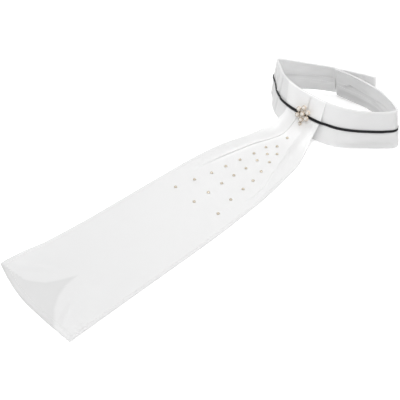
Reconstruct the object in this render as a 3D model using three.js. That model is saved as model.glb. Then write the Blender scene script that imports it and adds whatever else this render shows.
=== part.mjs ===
import * as THREE from 'three';

// A white stock tie lying on a table: a neck band closed in a loop, a black piping round its middle, a
// pleated tail that lies forward over the surface, a brooch at the front and a fan of small crystals.
// Millimetres. X runs along the loop's long axis, the tail lies towards -Y, and +Z is up.

const TOUCH_GAP = 0.3;

const BAND_WALL = 2.2;
const BAND_STEPS_AROUND = 72;
const BAND_STEPS_UP = 3;
// The band's front, counted as places round it, ends at the loop's right and left points.
const FRONT_RIGHT = 0.21;
const FRONT_LEFT = 0.66;
const SEARCH_ROUNDS = 40;

// The neck band's top edge and foot edge, a row for each station from the inner end at the back, round the
// right, the front and the left, to the outer end, which passes outside the inner one and stands higher.
const BAND_COLUMNS = ['topX', 'topY', 'topZ', 'footX', 'footY', 'footZ'];
const BAND_TABLE = [
  [-20, 30.0, 42.4, -20, 41.2, 3.8],
  [0, 29.2, 42.8, 0, 42.6, 3.0],
  [20, 26.4, 43.2, 22, 43.6, 2.0],
  [42, 21.8, 43.8, 47, 37.2, 1.2],
  [63, 11.2, 44.6, 70, 21.6, 0.6],
  [76.8, -0.6, 45.0, 83.6, 4.4, 0.4],
  [71.3, -13.0, 45.0, 75.2, -8.6, 0.4],
  [60.3, -23.2, 45.0, 61.0, -22.6, 0.4],
  [47.9, -31.1, 45.0, 48.0, -34.6, 0.4],
  [33.5, -36.4, 45.0, 34.6, -43.2, 0.4],
  [15.4, -38.5, 45.0, 16.0, -46.8, 0.4],
  [-4.6, -37.2, 45.0, -5.0, -46.6, 0.4],
  [-21.5, -35.2, 45.0, -24.0, -44.9, 0.4],
  [-35.9, -30.9, 45.0, -41.0, -40.0, 0.4],
  [-49.5, -24.4, 45.0, -56.6, -29.6, 0.4],
  [-63.8, -13.2, 45.0, -70.2, -13.8, 0.4],
  [-77.0, -1.7, 45.0, -82.8, 0.8, 0.4],
  [-66.8, 7.2, 44.0, -71.7, 14.6, 1.0],
  [-52.2, 15.8, 43.0, -58.0, 27.4, 2.0],
  [-38.4, 24.8, 41.8, -42.3, 37.8, 3.0],
  [-22.0, 34.9, 40.6, -24.0, 46.4, 3.4],
  [-8.0, 36.4, 42.4, -8.0, 48.0, 5.4],
  [5.0, 35.6, 44.9, 5.5, 46.8, 7.8],
  [17.4, 34.6, 47.6, 18.0, 45.8, 10.4],
  [29.2, 32.6, 50.2, 29.6, 44.0, 12.8],
];

const PIPING_HEIGHT_SHARE = 0.485;
const PIPING_WIDTH = 2.8;
const PIPING_RISE = 1.2;
const PIPING_FIRST_STEP = 10;
// The piping's section, a row for each point across it: place across and height, both as shares.
const PIPING_COLUMNS = ['across', 'rise'];
const PIPING_TABLE = [
  [-1, 0.45],
  [-0.7, 0.8],
  [0, 1],
  [0.7, 0.8],
  [1, 0.45],
];

const PANEL_WALL = 1.0;
const PANEL_TOP_LEFT = -35.5;
const PANEL_TOP_RIGHT = 18.3;
const PANEL_LOW_LEFT = -30.0;
const PANEL_LOW_RIGHT = 17.8;
const PANEL_LOW_SHARE = 0.462;
const PANEL_STEPS_ACROSS = 14;
const PANEL_STEPS_UP = 3;
const PANEL_STEP_LENGTH = 5;

const TAIL_WALL = 1.0;
const TAIL_MIDDLE = -4;
const TAIL_HALF_WIDTH = 50;
const TAIL_END_BOW = 1.6;
const TAIL_LEFT_DRAW = 6.8;
const TAIL_BOW_START = -335;
const TAIL_BOW_RUN = 56;
const TAIL_ROWS_PER_STATION = [2, 2, 2, 2, 3, 3, 3, 3, 3, 3, 3, 2, 3, 4];
const ARC_STEPS = 4;
const FLAP_STEPS = 5;
const CENTRE_STEPS = 4;
const UNDERLAY_LEAST = 0.5;
const FLAP_SLOPE = 0.35;
const FLAP_CLEARANCE = 0.6;
const FLAP_LEAST = 0.5;
const MITRE_LEAST = 0.7;
const LEAST_TURN = 0.001;

// The tail's mid-surface, a row for each station from the seam under the piping to the free end: the path's
// place, the two side edges, the two folds that show, the cloth hidden in each pleat, the length of a
// fold's arc, and the share of the band's roundness that the cloth follows.
const TAIL_COLUMNS = [
  'y', 'z', 'left', 'right', 'leftFold', 'rightFold', 'leftHidden', 'rightHidden', 'arc', 'wrap',
];
const TAIL_TABLE = [
  [-44.6, 20.2, -29.5, 17.4, -11.4, 3.4, 23, 15, 2.05, 1],
  [-46.4, 15.5, -29.8, 16.6, -11.5, 3.4, 22.6, 14.6, 2.05, 0.8],
  [-50.6, 11.2, -30.8, 16.6, -11.7, 3.6, 22, 14, 2.05, 0.55],
  [-57.5, 7.2, -32.4, 18.2, -12.0, 4.0, 21, 13.4, 2.1, 0.3],
  [-67.5, 3.9, -34.6, 22.0, -12.6, 5.0, 19, 12.6, 2.15, 0.12],
  [-82, 1.7, -38.4, 27.4, -18, 8.6, 13, 11, 2.3, 0.03],
  [-98, 0.7, -43.0, 32.4, -24.8, 14, 6, 6.5, 2.6, 0],
  [-118, 0.5, -48.6, 36.0, -29, 20, 2.4, 2.6, 2.5, 0],
  [-138, 0.5, -51.6, 39.0, -32.4, 27, 1.1, 1.1, 2.5, 0],
  [-158, 0.5, -53.2, 41.6, -36, 32, 0.3, 0.3, 2.8, 0],
  [-180, 0.5, -53.8, 43.4, -38, 34, 0, 0, 3.2, 0],
  [-230, 0.5, -54.0, 46.0, -38, 34, 0, 0, 3.5, 0],
  [-290, 0.5, -54.0, 46.8, -38, 34, 0, 0, 3.5, 0],
  [-340, 0.5, -54.0, 47.2, -38, 34, 0, 0, 3.5, 0],
  [-391, 0.5, -54.0, 48.0, -38, 34, 0, 0, 3.5, 0],
];

// Where the tail's lower end lifts off the surface: the curled left corner, the right corner, and the low
// rise on each side of a shallow dent that opens towards the end.
const LEFT_CORNER = { lift: 6.0, start: -285, reach: 50, run: 106, power: 1.6 };
const RIGHT_CORNER = { lift: 0.6, start: -345, reach: 52, run: 46, power: 1.5 };
const DENT_TIP = { x: -2.8, y: -341 };
const DENT_LEFT_SLOPE = 0.95;
const DENT_RIGHT_SLOPE = 0.62;
const DENT_RISE = 2.0;
const DENT_SHOULDER = 9;
const DENT_RUN = 26;
const DENT_SETTLE_START = 17;
const DENT_SETTLE_RUN = 24;

const CRYSTAL_RADIUS = 1.55;
const CRYSTAL_SIDES = 8;
// The crystals' places on the tail in plan, a row for each, in three rays that fan out from the brooch.
const CRYSTAL_COLUMNS = ['x', 'y'];
const CRYSTAL_TABLE = [
  [-4.3, -68.8],
  [-3.9, -86.1],
  [4.4, -96.0],
  [-11.7, -94.9],
  [-2.9, -103.0],
  [7.7, -112.1],
  [-13.6, -111.8],
  [-3.4, -118.5],
  [11.9, -129.8],
  [-16.4, -130.1],
  [-2.4, -136.6],
  [16.0, -146.7],
  [-19.1, -148.3],
  [-3.1, -153.8],
  [17.9, -163.3],
  [-21.6, -166.3],
  [-2.9, -171.4],
  [20.2, -183.3],
  [-26.1, -185.9],
  [-2.4, -190.5],
  [25.6, -206.2],
  [-30.7, -207.1],
  [-2.2, -209.9],
];

const BROOCH_CENTRE = new THREE.Vector3(-3.0, -47.6, 25.4);
const BROOCH_LEAN = THREE.MathUtils.degToRad(15);
const BROOCH_PLATE = 1.4;
const PETALS = 6;
const PETAL_RING = 6.6;
const PETAL_RADIUS = 3.5;
const HUB_RADIUS = 3.2;
const OPENING_RING = 5.2;
const OPENING_RADIUS = 0.95;
const OPENING_SIDES = 8;
const OUTLINE_STEPS = 72;
const STONE_RADIUS = 2.0;
const STONE_RISE = 1.6;
const STONE_SIDES = 10;
const STONE_GIRDLE_SHARE = 0.35;
const STONE_TABLE_SHARE = 0.62;
const DROP_PLACE = -11.3;
const DROP_RADIUS = 1.9;
const DROP_STONE_RADIUS = 1.25;

const TAPE_WALL = 1.0;
const TAPE_LOW = 0.2;
const TAPE_HIGH = 0.8;
const LOOP_TAPE_STEPS = [-0.4, 0, 1, 2, 3, 4, 5];
const HOOK_TAPE_STEPS = [63, 64, 65, 66, 67, 68, 69];

const finishes = {
  cloth: { color: 0xf4f3f1, roughness: 0.85, metalness: 0 },
  satin: { color: 0x101012, roughness: 0.4, metalness: 0 },
  tape: { color: 0xededea, roughness: 0.95, metalness: 0 },
  roseGold: { color: 0xd9a184, roughness: 0.25, metalness: 1 },
  paleStone: { color: 0xf3ddd2, roughness: 0.08, metalness: 0 },
  champagne: { color: 0xdcb088, roughness: 0.12, metalness: 0 },
};

const tie = new THREE.Group();

function addPiece(name, geometry, finish) {
  const piece = new THREE.Mesh(geometry, new THREE.MeshStandardMaterial(finishes[finish]));
  piece.name = name;
  tie.add(piece);
  return piece;
}

function readTable(columns, rows) {
  return rows.map((row) => Object.fromEntries(columns.map((column, index) => [column, row[index]])));
}

// A smooth value through a table's column, at a place counted in rows.
function columnAt(rows, column, place) {
  const last = rows.length - 1;
  const index = Math.min(Math.max(Math.floor(place), 0), last - 1);
  const share = place - index;
  const value = (row) => rows[Math.min(Math.max(row, 0), last)][column];
  const [before, start, end, after] = [value(index - 1), value(index), value(index + 1), value(index + 2)];
  const startSlope = (end - before) / 2;
  const endSlope = (after - start) / 2;
  const squared = share * share;
  const cubed = squared * share;
  return start * (2 * cubed - 3 * squared + 1) + startSlope * (cubed - 2 * squared + share)
    + end * (3 * squared - 2 * cubed) + endSlope * (cubed - squared);
}

function smooth(value) {
  const share = THREE.MathUtils.clamp(value, 0, 1);
  return share * share * (3 - 2 * share);
}

function signedVolume(positions, index) {
  const corner = (place) => new THREE.Vector3().fromArray(positions, 3 * index[place]);
  let volume = 0;
  for (let place = 0; place < index.length; place += 3) {
    volume += corner(place).dot(corner(place + 1).cross(corner(place + 2))) / 6;
  }
  return volume;
}

// A closed wall between two grids of points with equal rows and columns, faces turned outwards.
function wallGeometry(outer, inner) {
  const rows = outer.length;
  const columns = outer[0].length;
  const positions = [outer, inner].flat(2).flatMap((point) => point.toArray());
  const index = [];
  const at = (side, row, column) => (side * rows + row) * columns + column;
  const quad = (a, b, c, d) => index.push(a, b, c, a, c, d);
  for (let row = 0; row + 1 < rows; row += 1) {
    for (let column = 0; column + 1 < columns; column += 1) {
      quad(at(0, row, column), at(0, row, column + 1), at(0, row + 1, column + 1), at(0, row + 1, column));
      quad(at(1, row, column), at(1, row + 1, column), at(1, row + 1, column + 1), at(1, row, column + 1));
    }
  }
  for (let column = 0; column + 1 < columns; column += 1) {
    quad(at(0, 0, column), at(1, 0, column), at(1, 0, column + 1), at(0, 0, column + 1));
    const last = rows - 1;
    quad(at(0, last, column), at(0, last, column + 1), at(1, last, column + 1), at(1, last, column));
  }
  for (let row = 0; row + 1 < rows; row += 1) {
    quad(at(0, row, 0), at(0, row + 1, 0), at(1, row + 1, 0), at(1, row, 0));
    const last = columns - 1;
    quad(at(0, row, last), at(1, row, last), at(1, row + 1, last), at(0, row + 1, last));
  }
  if (signedVolume(positions, index) < 0) {
    index.reverse();
  }
  const geometry = new THREE.BufferGeometry();
  geometry.setAttribute('position', new THREE.Float32BufferAttribute(positions, 3));
  geometry.setIndex(index);
  geometry.computeVertexNormals();
  return geometry;
}

function grid(rowPlaces, columnPlaces, pointAt) {
  return rowPlaces.map((row) => columnPlaces.map((column) => pointAt(row, column)));
}

function spread(from, to, steps) {
  return Array.from({ length: steps + 1 }, (_, step) => from + ((to - from) * step) / steps);
}

// The neck band: around is 0 at the inner end and 1 at the outer end, up is 0 at the foot and 1 at the top.
const bandRows = readTable(BAND_COLUMNS, BAND_TABLE);

function bandMiddle(around, up) {
  const place = THREE.MathUtils.clamp(around, 0, 1) * (bandRows.length - 1);
  const coordinates = (edge) => ['X', 'Y', 'Z'].map((axis) => columnAt(bandRows, edge + axis, place));
  const top = new THREE.Vector3(...coordinates('top'));
  return new THREE.Vector3(...coordinates('foot')).lerp(top, up);
}

function bandPoint(around, up, offset) {
  const nudge = 0.001;
  const start = THREE.MathUtils.clamp(around, nudge, 1 - nudge);
  const forward = bandMiddle(start + nudge, up).sub(bandMiddle(start - nudge, up));
  const upward = bandMiddle(start, 1).sub(bandMiddle(start, 0));
  const outward = new THREE.Vector3().crossVectors(upward, forward).normalize();
  const overrun = around - THREE.MathUtils.clamp(around, 0, 1);
  return bandMiddle(around, up)
    .addScaledVector(forward, overrun / (2 * nudge))
    .addScaledVector(outward, offset);
}

// The place round the band where its front passes a given x.
function aroundAtX(x, up) {
  let right = FRONT_RIGHT;
  let left = FRONT_LEFT;
  for (let round = 0; round < SEARCH_ROUNDS; round += 1) {
    const middle = (right + left) / 2;
    if (bandMiddle(middle, up).x > x) {
      right = middle;
    } else {
      left = middle;
    }
  }
  return (right + left) / 2;
}

function buildBand() {
  const rows = spread(0, 1, BAND_STEPS_AROUND);
  const columns = spread(0, 1, BAND_STEPS_UP);
  const face = (offset) => grid(rows, columns, (around, up) => bandPoint(around, up, offset));
  addPiece('collar_band', wallGeometry(face(BAND_WALL / 2), face(-BAND_WALL / 2)), 'cloth');
}

function panelEdges(up) {
  const share = (up - PANEL_LOW_SHARE) / (1 - PANEL_LOW_SHARE);
  return {
    left: THREE.MathUtils.lerp(PANEL_LOW_LEFT, PANEL_TOP_LEFT, share),
    right: THREE.MathUtils.lerp(PANEL_LOW_RIGHT, PANEL_TOP_RIGHT, share),
  };
}

function buildFrontPanel() {
  const rows = spread(PANEL_LOW_SHARE, 1, PANEL_STEPS_UP);
  const columns = spread(0, 1, PANEL_STEPS_ACROSS);
  const low = BAND_WALL / 2 + TOUCH_GAP;
  const face = (offset) => grid(rows, columns, (up, across) => {
    const edges = panelEdges(up);
    return bandPoint(aroundAtX(THREE.MathUtils.lerp(edges.right, edges.left, across), up), up, offset);
  });
  addPiece('front_panel', wallGeometry(face(low + PANEL_WALL), face(low)), 'cloth');
}

// The piping stands prouder where it crosses the front panel.
function pipingSeat(around) {
  const x = bandMiddle(around, PIPING_HEIGHT_SHARE).x;
  const atFront = around > FRONT_RIGHT && around < FRONT_LEFT;
  const fromRight = smooth((PANEL_TOP_RIGHT + 2 * PANEL_STEP_LENGTH - x) / PANEL_STEP_LENGTH);
  const fromLeft = smooth((x - PANEL_TOP_LEFT + 2 * PANEL_STEP_LENGTH) / PANEL_STEP_LENGTH);
  const overPanel = atFront ? fromRight * fromLeft : 0;
  return BAND_WALL / 2 + TOUCH_GAP + overPanel * (PANEL_WALL + TOUCH_GAP);
}

function buildPiping() {
  const rows = spread(0, 1, BAND_STEPS_AROUND).slice(PIPING_FIRST_STEP, -1);
  const section = readTable(PIPING_COLUMNS, PIPING_TABLE);
  const face = (riseOf) => rows.map((around) => {
    const bandWidth = bandMiddle(around, 1).distanceTo(bandMiddle(around, 0));
    return section.map((point) => {
      const up = PIPING_HEIGHT_SHARE + (point.across * PIPING_WIDTH) / 2 / bandWidth;
      return bandPoint(around, up, pipingSeat(around) + riseOf(point));
    });
  });
  addPiece('piping', wallGeometry(face((point) => point.rise * PIPING_RISE), face(() => 0)), 'satin');
}

function tapeGeometry(steps, near, far) {
  const rows = steps.map((step) => step / BAND_STEPS_AROUND);
  const columns = [TAPE_LOW, ...spread(0, 1, BAND_STEPS_UP).slice(1, -1), TAPE_HIGH];
  const face = (offset) => grid(rows, columns, (around, up) => bandPoint(around, up, offset));
  return wallGeometry(face(far), face(near));
}

function buildClosure() {
  const near = BAND_WALL / 2 + TOUCH_GAP;
  const far = near + TAPE_WALL;
  addPiece('loop_tape', tapeGeometry(LOOP_TAPE_STEPS, near, far), 'tape');
  addPiece('hook_tape', tapeGeometry(HOOK_TAPE_STEPS, -far, -near), 'tape');
}

const tailRows = readTable(TAIL_COLUMNS, TAIL_TABLE);

function bandFrontDepth(x) {
  return bandMiddle(aroundAtX(x, PANEL_LOW_SHARE), PANEL_LOW_SHARE).y;
}

const middleDepth = bandFrontDepth(TAIL_MIDDLE);

function cornerLift(corner, across, y) {
  const along = Math.max(0, (corner.start - y) / corner.run);
  return corner.lift * smooth(across / corner.reach) * along ** corner.power;
}

function liftAt(x, y) {
  const leftCorner = cornerLift(LEFT_CORNER, TAIL_MIDDLE - x, y);
  const rightCorner = cornerLift(RIGHT_CORNER, x - TAIL_MIDDLE, y);
  const past = Math.max(0, DENT_TIP.y - y);
  const leftOut = (DENT_TIP.x - past * DENT_LEFT_SLOPE - x) / DENT_SHOULDER;
  const rightOut = (x - DENT_TIP.x - past * DENT_RIGHT_SLOPE) / DENT_SHOULDER;
  const settled = 1 - smooth((x - DENT_SETTLE_START) / DENT_SETTLE_RUN);
  const shoulder = smooth(Math.max(leftOut, rightOut)) * smooth(past / DENT_RUN) * settled;
  return leftCorner + rightCorner + DENT_RISE * shoulder;
}

// How far the end edge bows out in its middle; towards its left corner it draws back.
function bowAt(x, y) {
  const share = (x - TAIL_MIDDLE) / TAIL_HALF_WIDTH;
  const drawn = share < 0 ? TAIL_LEFT_DRAW : TAIL_END_BOW;
  return (TAIL_END_BOW - drawn * share * share) * smooth((TAIL_BOW_START - y) / TAIL_BOW_RUN);
}

// The tail's base surface, without its pleats.
function tailBase(place, x) {
  const y = columnAt(tailRows, 'y', place);
  const wrap = Math.max(0, columnAt(tailRows, 'wrap', place));
  const round = wrap > 0 ? wrap * (bandFrontDepth(x) - middleDepth) : 0;
  const z = Math.max(TAIL_WALL / 2, columnAt(tailRows, 'z', place));
  return new THREE.Vector3(x, y + round - bowAt(x, y), z + liftAt(x, y));
}

function tailPoint(place, x, height) {
  const nudge = 0.02;
  const last = tailRows.length - 1;
  const start = THREE.MathUtils.clamp(place, nudge, last - nudge);
  const along = tailBase(start + nudge, x).sub(tailBase(start - nudge, x));
  const across = tailBase(start, x + nudge).sub(tailBase(start, x - nudge));
  const outward = new THREE.Vector3().crossVectors(along, across).normalize();
  return tailBase(place, x).addScaledVector(outward, height);
}

// The angle that a fold turns through when it takes up a given share of its two arcs.
function foldTurn(share) {
  let low = LEAST_TURN;
  let high = Math.PI;
  for (let round = 0; round < SEARCH_ROUNDS; round += 1) {
    const middle = (low + high) / 2;
    if (1 - Math.sin(middle) / middle < share) {
      low = middle;
    } else {
      high = middle;
    }
  }
  return (low + high) / 2;
}

// One pleat in section: from the flap's end an arc, a straight underlay and an arc back, down to height 0.
function pleatSection(hidden, arc) {
  const turn = foldTurn(Math.min(1, hidden / (2 * arc)));
  const radius = arc / turn;
  const underlay = UNDERLAY_LEAST + Math.max(0, hidden / 2 - arc);
  const height = 2 * radius * (1 - Math.cos(turn)) + underlay * Math.sin(turn);
  const turnedX = radius * Math.sin(turn);
  const turnedHeight = height - radius * (1 - Math.cos(turn));
  const lowX = turnedX + underlay * Math.cos(turn);
  const lowHeight = turnedHeight - underlay * Math.sin(turn);
  const first = spread(0, turn, ARC_STEPS).map((angle) => [
    radius * Math.sin(angle), height - radius * (1 - Math.cos(angle)),
  ]);
  const second = spread(turn, 0, ARC_STEPS).map((angle) => [
    lowX + turnedX - radius * Math.sin(angle), lowHeight - radius * (Math.cos(angle) - Math.cos(turn)),
  ]);
  const points = [...first, ...second];
  const across = points.map((point) => point[0]);
  return { points, height, outmost: Math.max(...across), inmost: Math.min(...across) };
}

// A flap and its pleat, from the side edge inwards. side is 1 on the left, where inwards is +X, and -1 on
// the right.
function halfSection(edge, fold, hidden, arc, side) {
  const pleat = pleatSection(hidden, arc);
  const turned = Math.min(pleat.outmost, arc);
  const startX = side * fold - turned;
  const rampEnd = startX + Math.min(0, pleat.inmost) - FLAP_CLEARANCE;
  const rampStart = side * edge;
  const rampWidth = Math.max(rampEnd - rampStart, FLAP_LEAST);
  const edgeHeight = Math.max(0, pleat.height - FLAP_SLOPE * rampWidth);
  const ramp = spread(0, 1, FLAP_STEPS).slice(0, -1).map((share) => [
    rampStart + rampWidth * share, THREE.MathUtils.lerp(edgeHeight, pleat.height, smooth(share)),
  ]);
  const points = [...ramp, ...pleat.points.map(([x, height]) => [startX + x, height])];
  return points.map(([x, height]) => new THREE.Vector2(side * x, height));
}

function tailSection(place) {
  const value = (column) => columnAt(tailRows, column, place);
  const arc = value('arc');
  const left = halfSection(value('left'), value('leftFold'), Math.max(0, value('leftHidden')), arc, 1);
  const right = halfSection(value('right'), value('rightFold'), Math.max(0, value('rightHidden')), arc, -1);
  const start = left[left.length - 1];
  const end = right[right.length - 1];
  const centre = spread(0, 1, CENTRE_STEPS).slice(1, -1).map((share) => start.clone().lerp(end, share));
  return [...left, ...centre, ...right.reverse()];
}

// The section moved to one side by a distance, with its corners mitred.
function offsetSection(section, distance) {
  return section.map((point, index) => {
    const before = section[Math.max(index - 1, 0)];
    const after = section[Math.min(index + 1, section.length - 1)];
    const inward = point.clone().sub(before).normalize();
    const outward = after.clone().sub(point).normalize();
    const along = inward.clone().add(outward).normalize();
    const normal = new THREE.Vector2(-along.y, along.x);
    const straight = index === 0 ? outward : inward;
    const cosine = Math.max(MITRE_LEAST, Math.abs(along.dot(straight)));
    return point.clone().addScaledVector(normal, distance / cosine);
  });
}

function tailPlaces() {
  const places = [0];
  TAIL_ROWS_PER_STATION.forEach((count, station) => {
    places.push(...spread(station, station + 1, count).slice(1));
  });
  return places;
}

function buildTail() {
  const places = tailPlaces();
  const face = (distance) => places.map((place) => (
    offsetSection(tailSection(place), distance).map((point) => tailPoint(place, point.x, point.y))
  ));
  addPiece('tail', wallGeometry(face(TAIL_WALL / 2), face(-TAIL_WALL / 2)), 'cloth');
}

function placeAtY(y) {
  let low = 0;
  let high = tailRows.length - 1;
  for (let round = 0; round < SEARCH_ROUNDS; round += 1) {
    const middle = (low + high) / 2;
    if (columnAt(tailRows, 'y', middle) > y) {
      low = middle;
    } else {
      high = middle;
    }
  }
  return (low + high) / 2;
}

// A stone cut with a flat table: a girdle, a sloping crown and the table on top, standing on +Z.
function stoneGeometry(radius, rise, sides) {
  const profile = [
    new THREE.Vector2(0, 0),
    new THREE.Vector2(radius, 0),
    new THREE.Vector2(radius, rise * STONE_GIRDLE_SHARE),
    new THREE.Vector2(radius * STONE_TABLE_SHARE, rise),
    new THREE.Vector2(0, rise),
  ];
  return new THREE.LatheGeometry(profile, sides).rotateX(Math.PI / 2);
}

function buildCrystals() {
  readTable(CRYSTAL_COLUMNS, CRYSTAL_TABLE).forEach((spot, index) => {
    const name = `crystal_${String(index + 1).padStart(2, '0')}`;
    const piece = addPiece(name, stoneGeometry(CRYSTAL_RADIUS, CRYSTAL_RADIUS, CRYSTAL_SIDES), 'champagne');
    const place = placeAtY(spot.y);
    const seat = tailPoint(place, spot.x, TAIL_WALL / 2 + TOUCH_GAP);
    const outward = tailPoint(place, spot.x, TAIL_WALL).sub(tailPoint(place, spot.x, 0)).normalize();
    piece.position.copy(seat);
    piece.quaternion.setFromUnitVectors(new THREE.Vector3(0, 0, 1), outward);
  });
}

function polar(radius, angle) {
  return new THREE.Vector2(radius * Math.sin(angle), radius * Math.cos(angle));
}

// The brooch's outline: six round petals in a ring, and a drop under the lowest one.
function broochShape() {
  const outline = spread(2 * Math.PI, 0, OUTLINE_STEPS).slice(0, -1).map((angle) => {
    let reach = HUB_RADIUS;
    const circles = spread(0, PETALS, PETALS).slice(0, -1).map((petal) => ({
      centre: polar(PETAL_RING, (petal * 2 * Math.PI) / PETALS), radius: PETAL_RADIUS,
    }));
    circles.push({ centre: new THREE.Vector2(0, DROP_PLACE), radius: DROP_RADIUS });
    const ray = polar(1, angle);
    for (const circle of circles) {
      const along = circle.centre.dot(ray);
      const aside = circle.centre.lengthSq() - along * along;
      if (along > 0 && aside < circle.radius ** 2) {
        reach = Math.max(reach, along + Math.sqrt(circle.radius ** 2 - aside));
      }
    }
    return polar(reach, angle);
  });
  const shape = new THREE.Shape(outline);
  for (let gap = 0; gap < PETALS; gap += 1) {
    const centre = polar(OPENING_RING, ((gap + 0.5) * 2 * Math.PI) / PETALS);
    const rim = spread(0, 2 * Math.PI, OPENING_SIDES).slice(0, -1).map((angle) => (
      polar(OPENING_RADIUS, angle).add(centre)
    ));
    shape.holes.push(new THREE.Path(rim));
  }
  return shape;
}

function buildBrooch() {
  const acrossAxis = new THREE.Vector3(1, 0, 0);
  const turn = new THREE.Quaternion().setFromAxisAngle(acrossAxis, Math.PI / 2 - BROOCH_LEAN);
  const seat = (piece, x, y, height) => {
    piece.quaternion.copy(turn);
    piece.position.copy(new THREE.Vector3(x, y, height).applyQuaternion(turn).add(BROOCH_CENTRE));
  };
  const plate = new THREE.ExtrudeGeometry(broochShape(), { depth: BROOCH_PLATE, bevelEnabled: false });
  seat(addPiece('brooch_setting', plate, 'roseGold'), 0, 0, 0);
  const stoneSeat = BROOCH_PLATE + TOUCH_GAP;
  const addStone = (name, radius, x, y) => {
    seat(addPiece(name, stoneGeometry(radius, STONE_RISE, STONE_SIDES), 'paleStone'), x, y, stoneSeat);
  };
  addStone('brooch_centre_stone', STONE_RADIUS, 0, 0);
  for (let petal = 0; petal < PETALS; petal += 1) {
    const spot = polar(PETAL_RING, (petal * 2 * Math.PI) / PETALS);
    addStone(`brooch_petal_stone_${petal + 1}`, STONE_RADIUS, spot.x, spot.y);
  }
  addStone('brooch_drop_stone', DROP_STONE_RADIUS, 0, DROP_PLACE);
}

buildBand();
buildFrontPanel();
buildPiping();
buildTail();
buildBrooch();
buildCrystals();
buildClosure();

// The origin is the middle of the object's box, at the height of the surface that it lies on.
tie.updateMatrixWorld(true);
const box = new THREE.Box3().setFromObject(tie, true);
const middle = box.getCenter(new THREE.Vector3());
tie.position.set(-middle.x, -middle.y, -box.min.z);

export default tie;
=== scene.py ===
import math
import random

import bpy
import numpy as np
from bpy.props import FloatProperty, FloatVectorProperty, PointerProperty
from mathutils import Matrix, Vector


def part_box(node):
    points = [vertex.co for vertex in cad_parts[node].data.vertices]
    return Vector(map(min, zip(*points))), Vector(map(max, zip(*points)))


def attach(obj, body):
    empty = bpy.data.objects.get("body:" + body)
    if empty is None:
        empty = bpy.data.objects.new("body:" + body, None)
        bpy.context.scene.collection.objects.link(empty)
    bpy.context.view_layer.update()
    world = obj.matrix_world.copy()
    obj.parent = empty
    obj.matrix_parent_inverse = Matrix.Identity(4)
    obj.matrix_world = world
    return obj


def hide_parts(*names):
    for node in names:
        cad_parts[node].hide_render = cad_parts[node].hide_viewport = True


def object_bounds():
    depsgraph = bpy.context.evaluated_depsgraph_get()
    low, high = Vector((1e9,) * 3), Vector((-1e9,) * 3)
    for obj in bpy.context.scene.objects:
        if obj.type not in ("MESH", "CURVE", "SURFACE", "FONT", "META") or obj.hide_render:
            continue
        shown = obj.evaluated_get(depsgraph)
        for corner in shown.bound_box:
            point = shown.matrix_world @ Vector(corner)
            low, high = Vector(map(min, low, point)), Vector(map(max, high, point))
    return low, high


bl_info = {
    "name": "Stock Tie",
    "version": (1, 0, 0),
    "blender": (4, 5, 0),
    "location": "3D View > Sidebar > Stock Tie",
    "description": "Dresses a packed stock tie in its cloth, piping, brooch and crystals",
    "category": "Add Mesh",
}

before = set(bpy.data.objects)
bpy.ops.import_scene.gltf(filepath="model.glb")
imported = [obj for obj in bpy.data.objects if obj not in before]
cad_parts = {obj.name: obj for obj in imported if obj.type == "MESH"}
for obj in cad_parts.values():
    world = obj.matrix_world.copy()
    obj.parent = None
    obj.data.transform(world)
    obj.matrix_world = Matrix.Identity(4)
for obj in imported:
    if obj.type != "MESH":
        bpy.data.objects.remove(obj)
FRAME_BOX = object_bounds()

# Sizes are in millimetres unless a comment says otherwise. The working frame has its origin inside the neck
# loop, the tail towards -Y and the surface at Z 0; work_to_row carries it over to the frame in metres.
MM = 0.001
NUDGE = 0.001
TAIL_NUDGE = 0.02
TOUCH_GAP = 0.3
BISECTIONS = 34
LEAST_TURN = 0.001
RIPPLE_WAVES = 6
RIPPLE_SPREAD = (0.7, 1.6)
FLAT_MAP = "Flat"
# The name of the point attribute that holds painted shade, from 0 to 1, which greys the cloth's colour.
SHADE_ATTRIBUTE = "PaintedShade"
# Where a rolled edge has its closest rows, as shares of the roll.
ROLL_SHARES = np.array((0, 0.04, 0.15, 0.35, 0.65, 1.0))

# The neck band's top edge and foot edge: topX, topY, topZ, footX, footY, footZ, a row for each station from
# the inner end at the back, round the right, the front and the left, to the outer end.
BAND_TABLE = np.array([
    (-20, 30.0, 42.4, -20, 41.2, 3.8),
    (0, 29.2, 42.8, 0, 42.6, 3.0),
    (20, 26.4, 43.2, 22, 43.6, 2.0),
    (42, 21.8, 43.8, 47, 37.2, 1.2),
    (63, 11.2, 44.6, 70, 21.6, 0.6),
    (76.8, -0.6, 45.0, 83.6, 4.4, 0.4),
    (71.3, -13.0, 45.0, 75.2, -8.6, 0.4),
    (60.3, -23.2, 45.0, 61.0, -22.6, 0.4),
    (47.9, -31.1, 45.0, 48.0, -34.6, 0.4),
    (33.5, -36.4, 45.0, 34.6, -43.2, 0.4),
    (15.4, -38.5, 45.0, 16.0, -46.8, 0.4),
    (-4.6, -37.2, 45.0, -5.0, -46.6, 0.4),
    (-21.5, -35.2, 45.0, -24.0, -44.9, 0.4),
    (-35.9, -30.9, 45.0, -41.0, -40.0, 0.4),
    (-49.5, -24.4, 45.0, -56.6, -29.6, 0.4),
    (-63.8, -13.2, 45.0, -70.2, -13.8, 0.4),
    (-77.0, -1.7, 45.0, -82.8, 0.8, 0.4),
    (-66.8, 7.2, 44.0, -71.7, 14.6, 1.0),
    (-52.2, 15.8, 43.0, -58.0, 27.4, 2.0),
    (-38.4, 24.8, 41.8, -42.3, 37.8, 3.0),
    (-22.0, 34.9, 40.6, -24.0, 46.4, 3.4),
    (-8.0, 36.4, 42.4, -8.0, 48.0, 5.4),
    (5.0, 35.6, 44.9, 5.5, 46.8, 7.8),
    (17.4, 34.6, 47.6, 18.0, 45.8, 10.4),
    (29.2, 32.6, 50.2, 29.6, 44.0, 12.8),
])
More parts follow.
